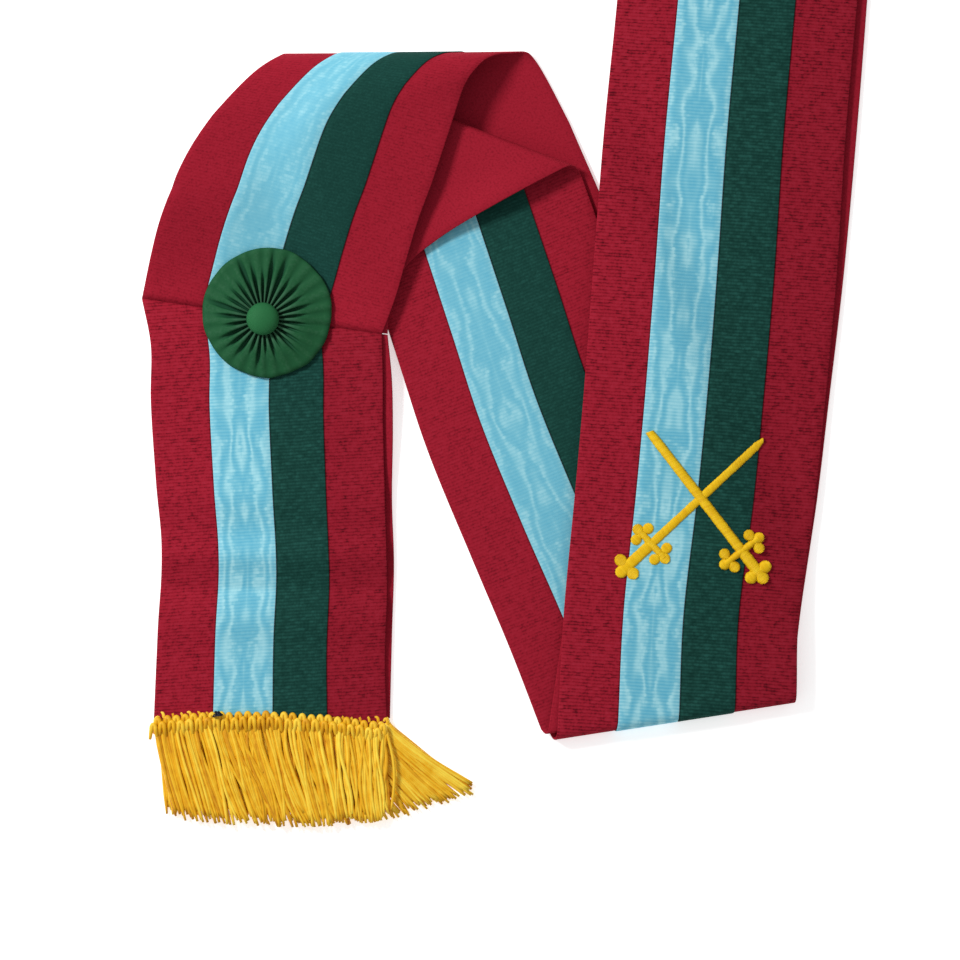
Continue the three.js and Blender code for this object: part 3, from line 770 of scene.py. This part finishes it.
def blend(tree, value, limits, ends):
    """Goes evenly from one end value to the other as a value runs between its limits."""
    spans = {"From Min": limits[0], "From Max": limits[1], "To Min": ends[0], "To Max": ends[1]}
    return add(tree, "MapRange", {"Value": value, **spans}).outputs[0]


def near_lines(tree, across, lines, reach, nearest):
    """1 away from the given lines along the ribbon, changing to another value on them."""
    product = 1.0
    for line in lines:
        off = sums(tree, "ABSOLUTE", sums(tree, "SUBTRACT", across, line))
        limits = {"Value": off, "From Max": reach, "To Min": nearest}
        fade = add(tree, "MapRange", limits, interpolation_type="SMOOTHSTEP").outputs[0]
        product = sums(tree, "MULTIPLY", fade, product)
    return product


def three_colours(tree, value, low, middle, high):
    """Colour ramp over 0 to 1, with the middle colour at one half."""
    ramp = add(tree, "ValToRGB", {0: value})
    steps = ramp.color_ramp.elements
    steps[0].color, steps[1].color = colour(low), colour(high)
    steps.new(0.5).color = colour(middle)
    return ramp.outputs[0]


def grosgrain(name, gap, body, crown, seams, right_border_shade):
    """Ribbed ribbon woven of matt yarn: rounded cross ribs, with painted shade in the gaps and a painted
    highlight on the crowns.

    It gives the eye fine uneven lines across the ribbon and no gloss, with a
    thin dark line where the stripes are stitched edge to edge, partly painted shadow
    of the stripe's edge. The border beyond the green has painted shade: it is darker by
    the given factor, but only where the ribs show plainly.
    """
    material, tree, shader = new_material(name, 0.8, 0.05)
    height, number, across, flat = cross_ribs(tree)
    depth, on_face = layer_values(tree, "rib_depth")
    dashes = around_half(tree, thread_dashes(tree, number, across, THREAD_STRETCH), THREAD_CONTRAST)
    # The ribs' tone: painted shade in their gaps and a painted highlight on their crowns, with the uneven
    # threads.
    ribs = sums(tree, "ADD", around_half(tree, height, RIB_SHADE_CONTRAST), dashes)
    shown = sums(tree, "MULTIPLY", ribs, depth)
    weave = around_half(tree, noise(tree, flat, WEAVE_GRAIN), WEAVE_CONTRAST)
    tone = sums(tree, "ADD", sums(tree, "ADD", shown, 0.5), weave)
    tinted = three_colours(tree, tone, gap, body, crown)
    # Painted shade on the right border beyond the green, where the ribs show plainly, and the stitched
    # lines, which are partly painted shadow; neither is put on the ribbon's back.
    darker = blend(tree, depth, BORDER_SHADE_RIBS, (1.0, right_border_shade))
    border = blend(tree, across, (GREEN_RIGHT - 1, GREEN_RIGHT + 1), (1.0, darker))
    lines = sums(tree, "MULTIPLY", near_lines(tree, across, seams, SEAM_REACH, SEAM_SHADE), border)
    off = sums(tree, "MULTIPLY", sums(tree, "SUBTRACT", 1.0, lines), on_face)
    shade = sums(tree, "SUBTRACT", 1.0, off)
    darkened = add(tree, "VectorMath", {0: tinted, "Scale": shade}, operation="SCALE")
    tree.links.new(darkened.outputs[0], shader.inputs["Base Color"])
    raise_surface(tree, shader, tone, 0.5, 0.2)
    return material


def watered_silk(name, deep, mid, pale):
    """Ribbed ribbon pressed while folded, so that the crushed ribs shine in watermarks.

    The marks run lengthwise, are stepped by the ribs and mirror each other about
    the middle. They are faint where the ribs are, and both woven edges stay pale.
    """
    material, tree, shader = new_material(name, 0.55, 0.15)
    height, number, across, _ = cross_ribs(tree)
    depth = layer_values(tree, "rib_depth")[0]
    middle = (SKY_SHARES[0] + SKY_SHARES[1]) / 2 * RIBBON_WIDTH
    mirrored = sums(tree, "ABSOLUTE", sums(tree, "SUBTRACT", across, middle))
    wide = sums(tree, "DIVIDE", mirrored, MARK_WIDTH)
    stepped = sums(tree, "MULTIPLY", number, RIB_PITCH / MARK_LENGTH)
    place = add(tree, "CombineXYZ", {0: wide, 1: stepped}).outputs[0]
    wander = noise(tree, place, 1.0, 1.0)
    dashes = thread_dashes(tree, number, across, SILK_STRETCH)
    bands = sums(tree, "MULTIPLY_ADD", wander, MARK_WANDER, sums(tree, "DIVIDE", mirrored, MARK_PITCH))
    turns = sums(tree, "MULTIPLY_ADD", dashes, 0.35, bands)
    contour = sums(tree, "SINE", sums(tree, "MULTIPLY", turns, 2 * math.pi))
    edges = near_lines(tree, across, [share * RIBBON_WIDTH for share in SKY_SHARES], PALE_EDGE, 0.0)
    marked = blend(tree, depth, MARKED_RIBS, (FAINT_MARKS, 1.0))
    contour = sums(tree, "MULTIPLY", sums(tree, "MULTIPLY", contour, edges), marked)
    # Painted shade in the rib gaps and a painted highlight on their crowns, fainter on the pale
    # watermarks.
    rib_shade_gain = sums(tree, "MULTIPLY_ADD", contour, -0.14, 0.26)
    ribs = sums(tree, "MULTIPLY", around_half(tree, height, rib_shade_gain), depth)
    woven = sums(tree, "ADD", ribs, around_half(tree, dashes, 0.55))
    tone = sums(tree, "ADD", woven, sums(tree, "MULTIPLY_ADD", contour, 0.25, 0.6))
    tone = sums(tree, "MULTIPLY_ADD", edges, -0.12, tone)
    tree.links.new(three_colours(tree, tone, deep, mid, pale), shader.inputs["Base Color"])
    raise_surface(tree, shader, ribs, 0.4, 0.2)
    return material


def rayon_thread(name, shade, body, light):
    """Loosely twisted yarn with a low sheen, in a tone for each thread that may hold painted light and
    shade.
    """
    material, tree, shader = new_material(name, 0.5, 0.25)
    grain = noise(tree, add(tree, "TexCoord").outputs["Object"], THREAD_GRAIN)
    tone = sums(tree, "ADD", around_half(tree, grain, 0.6), layer_values(tree, "cloth_mm")[0])
    tree.links.new(three_colours(tree, tone, shade, body, light), shader.inputs["Base Color"])
    return material


def pleated_ribbon(name, valley, body, ridge_highlight):
    """Closely woven ribbon with a dull satin face, pressed into sharp pleats."""
    # The tone runs from painted shade in the valleys through the body to a painted highlight on the
    # ridges, and the grain moves it a little.
    material, tree, shader = new_material(name, 0.65, 0.08)
    grain = noise(tree, add(tree, "TexCoord").outputs["Object"], CLOTH_GRAIN)
    tone = sums(tree, "ADD", around_half(tree, grain, 0.4), layer_values(tree, "cloth_mm")[0])
    tree.links.new(three_colours(tree, tone, valley, body, ridge_highlight), shader.inputs["Base Color"])
    raise_surface(tree, shader, grain, 0.3, 0.1)
    return material


# Places across the ribbon where the stripes meet.
SKY_LEFT = SKY_SHARES[0] * RIBBON_WIDTH
STRIPES_MEET = (SKY_SHARES[1] + GREEN_SHARES[0]) / 2 * RIBBON_WIDTH
GREEN_RIGHT = GREEN_SHARES[1] * RIBBON_WIDTH

# Watermarks of the pressed silk: pitch of the bands, width and length of their wandering, and
# how many bands far it goes.
MARK_PITCH = 7.0
MARK_WIDTH = 9.0
MARK_LENGTH = 21.0
MARK_WANDER = 2.6

# In each grosgrain the first colour is painted shade in the rib gaps and the last a painted highlight on
# their crowns; the uneven threads and the weave reach them too. The silk's deep and pale colours also hold
# the ribs' painted shade and highlight, beside its watermarks.
CRIMSON_SEAMS = [SKY_LEFT, GREEN_RIGHT]
# Crimson's last number is the painted shade on its right border; the green has none.
CRIMSON = grosgrain("crimson_grosgrain", "#530A16", "#951A2B", "#9C2335", CRIMSON_SEAMS, 0.85)
GREEN = grosgrain("bottle_green_grosgrain", "#0D302A", "#163D36", "#215048", [STRIPES_MEET], 1.0)
SKY = watered_silk("sky_watered_silk", "#57A9C4", "#73B9CC", "#ADDEE5")
YELLOW = rayon_thread("golden_yellow_rayon", "#B5680A", "#E9B01A", "#FAD848")
LEMON = rayon_thread("lemon_yellow_floss", "#D59C06", "#EBBE0A", "#F7D424")
# The pleated green's first colour is painted shade in its valleys and its last a painted highlight on its
# ridges.
PLEAT_GREEN = pleated_ribbon("pleated_green_ribbon", "#1A4630", "#1D5030", "#3B624A")
BUTTON_GREEN = pleated_ribbon("button_cloth", "#1F5734", "#256139", "#2C6B42")
DARK_THREAD = rayon_thread("dark_sewing_thread", "#0C1220", "#141C2C", "#1E2A3C")


# The ribbons

TAIL_RIBS = 0.85
FRONT_LENGTHS = ["front_strap", "front_roll", "front_under", "front_shoulder"]
LOOP_LENGTHS = FRONT_LENGTHS + ["back_shoulder", "back_diagonal", "back_strap"]
FRONT_TAIL_SECTIONS = lay_leg(FRONT_TAIL, front_tail_height, TAIL_STEP)[::-1]
BACK_TAIL_SECTIONS = lay_leg(BACK_TAIL, back_strap_height)
# For each ribbon: its legs, the solids' lengths that it covers, and what it rests on.
RIBBONS = {
    "loop": (loop_legs(), LOOP_LENGTHS, "floor"),
    "front_tail": ([(FRONT_TAIL_SECTIONS, 0.5, TAIL_RIBS)], ["front_tail"], "back_tail_crimson_grosgrain"),
    "back_tail": ([(BACK_TAIL_SECTIONS, 0.5, TAIL_RIBS)], ["back_tail"], "floor"),
}


def lay_ribbon(name):
    """One crimson ribbon, with the two ribbons sewn on its face."""
    legs, parts, rests_on = RIBBONS[name]
    length = cloth_lengths(legs)[1] * MM
    strips = [
        ("crimson_grosgrain", "band", "crimson_ribbon", (0, 1), BAND_OFFSETS, CRIMSON),
        ("sky_silk", "sky_ribbon", "sky_moire", SKY_SHARES, STRIPE_OFFSETS, SKY),
        ("green_grosgrain", "green_ribbon", "green_ribbon", GREEN_SHARES, STRIPE_OFFSETS, GREEN),
    ]
    for look, node, slot, shares, offsets, material in strips:
        piece = ribbon_strip(f"{name}_{look}", legs, shares, offsets, material)
        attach(piece, "root")
        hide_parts(*(f"{part}_{node}" for part in parts))


# The fringes


def heading_point(fringe, share):
    """Place on a fringe's heading line, at a share of the width."""
    left, right = np.array(fringe["row"][:2]), np.array(fringe["row"][2:])
    bow = fringe["arch"] * (1 - (2 * share - 1) ** 2)
    x, y = left * (1 - share) + right * share
    return x, y - HEADING_RISE + bow


def fringe_strands(fringe, pick):
    """Paths, radii and tones of the strands, in layers of clumps that lean and cross."""
    paths, radii, tones = [], [], []
    count = round(RIBBON_WIDTH / STRAND_PITCH)
    steps = np.linspace(0, 1, STRAND_POINTS)
    lean, base, spread = fringe["lean"], fringe["base"], fringe["spread"]
    bow, wave = np.sin(steps * math.pi), np.sin(steps * 2 * math.pi)
    settle = 1 - 0.45 * smooth_fade(steps * 1.5 - 0.5)
    taper = 1 - 0.3 * smooth_fade(steps * 8 - 7)
    for _ in range(fringe["layers"]):
        start = pick.uniform(0, CLUMP_WIDTH)
        clumps = [[pick.uniform(-1, 1), pick.gauss(0, 1), pick.random()] for _ in range(count)]
        for i in range(count):
            share = (i + pick.uniform(0.2, 0.8)) / count
            x, y = heading_point(fringe, share)
            aside, curl, height = clumps[int((start + i * STRAND_PITCH) / CLUMP_WIDTH)]
            drift = lean(share) + aside * spread + pick.gauss(0, 0.3 * spread)
            drift = min(max(drift, lean(share) - 3 * spread * share), MOST_DRIFT)
            drop = fringe["drop"](share, y, drift) + min(pick.gauss(-0.5, 1.7), 1.6)
            swing = min(1, 0.2 + 3 * share) * spread * 0.5
            curl = (curl + pick.gauss(0, 0.6)) * swing
            xs = x + drift * steps ** fringe["bend"] + curl * bow + pick.gauss(0, 0.5) * swing * wave
            ys = y - 0.6 - drop * steps
            height = 0.7 * height + 0.3 * pick.random()
            rise = PILE_HEIGHT * height * settle
            paths.append(np.stack([xs, ys, base + STRAND_RADIUS + rise], axis=1))
            radii.append(STRAND_RADIUS * pick.uniform(0.85, 1.12) * taper)
            # A strand's tone follows its height in the pile: painted light on the upper strands and
            # painted shade on the lower ones, with a random share.
            tones.append(0.6 * height + pick.uniform(-0.05, 0.42))
    return paths, radii, tones


def heading_loops(fringe, pick):
    """Cord in round loops, in rows that overlap like tiles, with legs under the strands."""
    paths, radii, tones = [], [], []
    count = round(RIBBON_WIDTH / HEADING_PITCH)
    turn = np.linspace(0, math.pi, 11)
    legs = np.linspace(1, 0, 5)[:-1]
    for step, down, up in HEADING_ROWS:
        for i in range(count):
            x, y = heading_point(fringe, (i + step) / count)
            y -= down + pick.uniform(-0.3, 0.3)
            x += pick.gauss(0, 0.15)
            reach = HEADING_LOOP_REACH * pick.uniform(0.85, 1.05)
            drop = HEADING_DROP * pick.uniform(0.7, 1.2)
            spread = reach + (HEADING_FOOT_REACH - reach) * legs
            side_x = np.concatenate([-spread, -reach * np.cos(turn), spread[::-1]])
            side_y = np.concatenate([-drop * legs, HEADING_RISE * np.sin(turn), -drop * legs[::-1]])
            foot = np.clip(-side_y / HEADING_DROP, 0, 1)
            tilt = np.linspace(0, 0.5, len(side_x)) - HEADING_SINK * foot**1.5
            z = fringe["on"] + HEADING_CORD_RADIUS + up + tilt
            paths.append(np.stack([x + side_x, y + side_y, z], axis=1))
            radii.append(HEADING_CORD_RADIUS * pick.uniform(0.88, 1.05) * (1 - 0.35 * foot))
            tones.append(pick.uniform(0.35, 0.85))
    return paths, radii, tones


def drop_loose_thread():
    """A snarl of dark sewing thread that lies on the front fringe's heading."""
    pick = random.Random(SEEDS["loose_thread"])
    middle = np.array(LOOSE_THREAD)
    path = [middle + [pick.gauss(0, 1.3), pick.gauss(0, 0.6), pick.uniform(0, 1.6)] for _ in range(18)]
    piece = tubes("loose_dark_thread", [path], [LOOSE_THREAD_RADIUS], [0.5], DARK_THREAD)
    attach(piece, "root")


def lay_fringe(name, node, fringe):
    """A fringe: strands in layers and the looped heading across their top."""
    pick = random.Random(SEEDS[node])
    strands, loops = fringe_strands(fringe, pick), heading_loops(fringe, pick)
    paths, radii, tones = (mine + its for mine, its in zip(strands, loops))
    piece = tubes(name, paths, radii, tones, YELLOW)
    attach(piece, "root")
    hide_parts(node)


# Both drops take a strand's share of the width, its top in plan and its drift aside.


def front_lean(share):
    """How far the front strands lean to the right at their tips."""
    return float(np.interp(share, *FRONT_LEAN))


def front_drop(share, top, drift):
    """The front strands are combed out to a nearly level line, a little lower in the middle."""
    return top - FRONT_FOOT + FRONT_FOOT_BOW * (1 - (2 * share - 1) ** 2)


def back_lean(share):
    """The back strands fan out to the right beyond the front tail."""
    return BACK_LEAN + BACK_FAN * float(smooth_fade((share - 0.5) / 0.5))


def back_drop(share, top, drift):
    """The back strands stay hidden behind the front ones, and show their length in the fan."""
    hidden = BACK_FRINGE_HIDDEN * (1 - float(smooth_fade((share - 0.5) / 0.3)))
    return math.sqrt((FRINGE_LENGTH - hidden) ** 2 - drift**2)


FRONT_FRINGE = {
    "row": FRONT_TAIL[-1], "arch": 3.8, "base": 2.6, "on": 4.3,
    "lean": front_lean, "drop": front_drop, "bend": 1.25,
    "layers": 3, "spread": 2.6,
}
BACK_FRINGE = {
    "row": BACK_TAIL[-1], "arch": 0.5, "base": 0.0, "on": 1.6,
    "lean": back_lean, "drop": back_drop, "bend": 1.15,
    "layers": 5, "spread": 1.6,
}


# The rosette


def rosette_seat(x, y):
    """Height of the front half's upper side around the rosette."""
    top = np.maximum(front_strap_height(x, y), front_tail_height(x, y))
    return top + BAND_OFFSETS[1] + ROSETTE_GAP


def pleat_profile(this, ahead, share, part):
    """Height, reach and tone of the frill, part of the way from one pleat's gap to the next."""
    near = this if part < 0.5 else ahead
    open_share = 1 - smooth_fade((share - near["closes"] + 0.4) / 0.4)
    crest = smooth_fade((min(part, 1 - part) - PLEAT_GAP * open_share) / PLEAT_FLANK)
    body = 0.75 + 0.25 * smooth_fade((share - 0.2) / 0.25) - 0.55 * smooth_fade((share - 0.5) / 0.5)
    body -= 0.05 * smooth_fade((share - 0.6) / 0.2) * math.cos(2 * math.pi * part)
    height = PLEAT_HEIGHT * body * (1 - PLEAT_GAP_DEPTH * open_share * (1 - crest))
    rim = this["rim"] + (ahead["rim"] - this["rim"]) * smooth_fade(part)
    reach = ROSETTE_RADIUS * share + rim * smooth_fade((share - 0.7) / 0.3)
    # The tone: painted shade in the open gaps and faintly along the closed pleat lines, and a painted
    # highlight on the open ridges, brighter towards the button.
    ridge_highlight = 0.5 + 0.4 * (1 - smooth_fade((share - 0.3) / 0.4))
    tone = (0.5 - 0.07 * math.cos(2 * math.pi * part)) * (1 - open_share) + ridge_highlight * crest * open_share
    return height, reach, tone


def pleat_the_rosette():
    """The frill: deep pleats at the button that close into a smooth, rounded rim."""
    pick = random.Random(SEEDS["rosette"])
    rings = [(share, 0) for share in np.linspace(0.14, 0.93, 28)] + RIM_CURL
    edges = np.cumsum([pick.uniform(*PLEAT_WIDTHS) for _ in range(PLEATS)])
    edges = np.concatenate([[0], edges / edges[-1]]) * 2 * math.pi
    pleats = []
    for _ in range(PLEATS):
        pleats.append({"closes": pick.triangular(*PLEAT_CLOSES), "rim": pick.uniform(*RIM_REACH)})
    plan, rises, uv = [], [], []
    for share, drop in rings:
        middle = Vector(BUTTON).lerp(Vector(ROSETTE), share)
        for number, this in enumerate(pleats):
            ahead = pleats[(number + 1) % PLEATS]
            for part in PLEAT_PARTS:
                height, reach, tone = pleat_profile(this, ahead, share, part)
                angle = edges[number] + (edges[number + 1] - edges[number]) * part
                plan.append((middle.x + reach * math.cos(angle), middle.y + reach * math.sin(angle)))
                rises.append(max(height - drop, 0.05))
                uv.append((tone, reach))
    around = PLEATS * len(PLEAT_PARTS)
    faces = ring_faces(len(rings), around)
    centre, last = len(plan), (len(rings) - 1) * around
    plan += [BUTTON, BUTTON]
    rises += [PLEAT_HEIGHT * 0.5, 0.05]
    # Both middle points take a dark tone: painted shade under the button.
    uv += [(0.1, 0), (0.1, 0)]
    for k in range(around):
        after = (k + 1) % around
        faces.append((centre, after, k))
        faces.append((centre + 1, last + k, last + after))
    plan = np.array(plan)
    points = np.column_stack([plan, rosette_seat(plan[:, 0], plan[:, 1]) + rises])
    faces = [face[::-1] for face in faces]
    piece = add_mesh("pleated_rosette", points, faces, PLEAT_GREEN, cloth_mm=uv)
    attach(piece, "root")
    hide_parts("rosette_frill")


def cover_the_button():
    """The button: a low dome with its cloth drawn over the rim."""
    turns = np.linspace(0.08, math.pi / 2, 16)
    profile = [(math.sin(t), math.cos(t)) for t in turns] + [(0.985, -0.12), (0.93, -0.25), (0.8, -0.3)]
    x, y = BUTTON
    rim = float(rosette_seat(np.array(x), np.array(y))) + PLEAT_HEIGHT + BUTTON_RIM
    points, uv = [], []
    for share, height in profile:
        reach, z = BUTTON_RADIUS * share, rim + (BUTTON_HEIGHT - BUTTON_RIM) * height
        for k in range(BUTTON_SIDES):
            angle = 2 * math.pi * k / BUTTON_SIDES
            points.append((x + reach * math.cos(angle), y + reach * math.sin(angle), z))
            uv.append((0.5, share))
    faces = ring_faces(len(profile), BUTTON_SIDES) + end_caps(0, len(profile), BUTTON_SIDES)
    faces = [face[::-1] for face in faces]
    piece = add_mesh("covered_button", points, faces, BUTTON_GREEN, cloth_mm=uv)
    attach(piece, "root")
    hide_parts("rosette_button")


# The crossed swords


def strap_top(x, y):
    """Height of the right-hand strap's face, stripes included."""
    return front_shoulder_height(x, y) + STRIPE_OFFSETS[1]


def towards(angle):
    """Unit direction at an angle in plan."""
    return np.array([math.cos(angle), math.sin(angle)])


def stitch_path(centre, reach, rise):
    """A thread laid on the strap across a centre, arched over it and let in at both ends."""
    steps = np.linspace(-1, 1, 7)
    plan = centre + np.outer(steps, reach)
    arch = np.sqrt(1 - (steps * 0.97) ** 2) * rise
    return np.column_stack([plan, strap_top(plan[:, 0], plan[:, 1]) + arch - STITCH_SINK])


def satin_stitches(start, end, width_from, width_to, rise, pick, slant=0.0):
    """Threads laid side by side across a bar."""
    length = np.linalg.norm(end - start)
    forward = (end - start) / length
    aside = np.array([-forward[1], forward[0]])
    count = round(length / STITCH_PITCH)
    paths = []
    for i in range(count):
        along = (i + 0.5) / count
        half = (width_from + (width_to - width_from) * along) / 2 + pick.uniform(-0.1, 0.12)
        reach = aside * half + forward * slant
        paths.append(stitch_path(start + forward * length * along, reach, STITCH_RISE + rise))
    return paths


def lobe_stitches(centre, heading, radius, rise, pick):
    """A round lobe of satin stitch: threads that cross a circle."""
    aside = towards(heading + math.pi / 2)
    count = round(2 * radius / STITCH_PITCH)
    paths = []
    for i in range(count):
        along = 2 * (i + 0.5) / count - 1
        half = radius * math.sqrt(1 - along**2) + pick.uniform(-0.08, 0.08)
        middle = centre + radius * along * towards(heading)
        paths.append(stitch_path(middle, aside * half, STITCH_RISE * 0.9 + rise))
    return paths


def trefoil(centre, heading, lobes, rise, pick):
    """Three lobes, one ahead and one on each side of the given direction."""
    paths = []
    for turn, reach in ((-math.pi / 2, "aside"), (0, "ahead"), (math.pi / 2, "aside")):
        at = centre + lobes[reach] * towards(heading + turn)
        paths += lobe_stitches(at, heading + turn, lobes["radius"], rise, pick)
    return paths


def sword_stitches(sword, pick):
    """Blade, grip, guard and the lobes at the ends of the guard and the grip."""
    tip, pommel = np.array(sword["tip"]), np.array(sword["pommel"])
    blade, rise = sword["blade"], sword["rise"]
    heading = math.atan2(*(pommel - tip)[::-1])
    guard = tip + (pommel - tip) * sword["guard_at"]
    aside = sword["reach"] * towards(heading + math.pi / 2)
    neck = tip + (pommel - tip) * NECK_AT
    grip_end = pommel + LOBE_OVERLAP * towards(heading)
    arm = aside * (1 + LOBE_OVERLAP / sword["reach"])
    return (
        satin_stitches(tip, neck, sword["point"], blade * 0.9, rise, pick, slant=0.5)
        + satin_stitches(neck, guard, blade * 0.9, blade, rise, pick, slant=0.5)
        + satin_stitches(guard, grip_end, GRIP_WIDTH, GRIP_WIDTH, rise, pick)
        + satin_stitches(guard - arm, guard + arm, ARM_WIDTH, ARM_WIDTH, rise + 0.1, pick)
        + trefoil(guard + aside, heading + math.pi / 2, GUARD_LOBES, rise, pick)
        + trefoil(guard - aside, heading - math.pi / 2, GUARD_LOBES, rise, pick)
        + trefoil(pommel, heading, POMMEL_LOBES, rise, pick)
    )


def embroider_swords():
    pick = random.Random(SEEDS["swords"])
    paths = [path for sword in SWORDS for path in sword_stitches(sword, pick)]
    tones = [pick.uniform(0.4, 0.7) for _ in paths]
    radii = [STITCH_RADIUS] * len(paths)
    piece = tubes("stitched_swords", paths, radii, tones, LEMON, sides=5)
    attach(piece, "root")
    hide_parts("crossed_swords")


# The floor and the light

GROUND_GLOW = 0.5
SURROUND_LIGHT = 0.5
KEY_PLACE = (-800, 440, 840)
KEY_SIZE = 250
KEY_POWER = 13.2
KEY_AIM = (0, -100, 0)
FLOOR_REACH = 2500
FLOOR_LEVEL = -0.1


def lay_floor():
    """A white ground lit a little from below, so that shadows on it stay faint."""
    surface = {"Base Color": colour("#FDFDFD"), "Emission Strength": GROUND_GLOW}
    material = new_material("lit_white_paper", 0.9, 0.1, **surface)[0]
    signs = ((-1, -1), (1, -1), (1, 1), (-1, 1))
    corners = [(x * FLOOR_REACH, y * FLOOR_REACH, FLOOR_LEVEL) for x, y in signs]
    floor = add_mesh("floor", corners, [(0, 1, 2, 3)], material)


def place_key():
    """A soft square lamp that faces the sash from the upper left."""
    lamp = bpy.data.lights.new("key", "AREA")
    lamp.shape = "SQUARE"
    lamp.size = KEY_SIZE * MM
    lamp.energy = KEY_POWER
    facing = (Vector(KEY_AIM) - Vector(KEY_PLACE)).to_track_quat("-Z", "Y")
    stand("key", lamp, Vector(KEY_PLACE) * MM).rotation_euler = facing.to_euler()


def light_the_scene():
    """The key lamp and an even white surround."""
    world = bpy.data.worlds.new("surround")
    world.use_nodes = True
    world.node_tree.nodes["Background"].inputs[0].default_value = (1, 1, 1, 1)
    world.node_tree.nodes["Background"].inputs[1].default_value = SURROUND_LIGHT
    bpy.context.scene.world = world
    bpy.context.scene.view_settings.view_transform = "Standard"
    place_key()


lay_floor()
for ribbon in RIBBONS:
    lay_ribbon(ribbon)
lay_fringe("front_tail_fringe", "front_fringe", FRONT_FRINGE)
lay_fringe("back_tail_fringe", "back_fringe", BACK_FRINGE)
drop_loose_thread()
pleat_the_rosette()
cover_the_button()
embroider_swords()
light_the_scene()
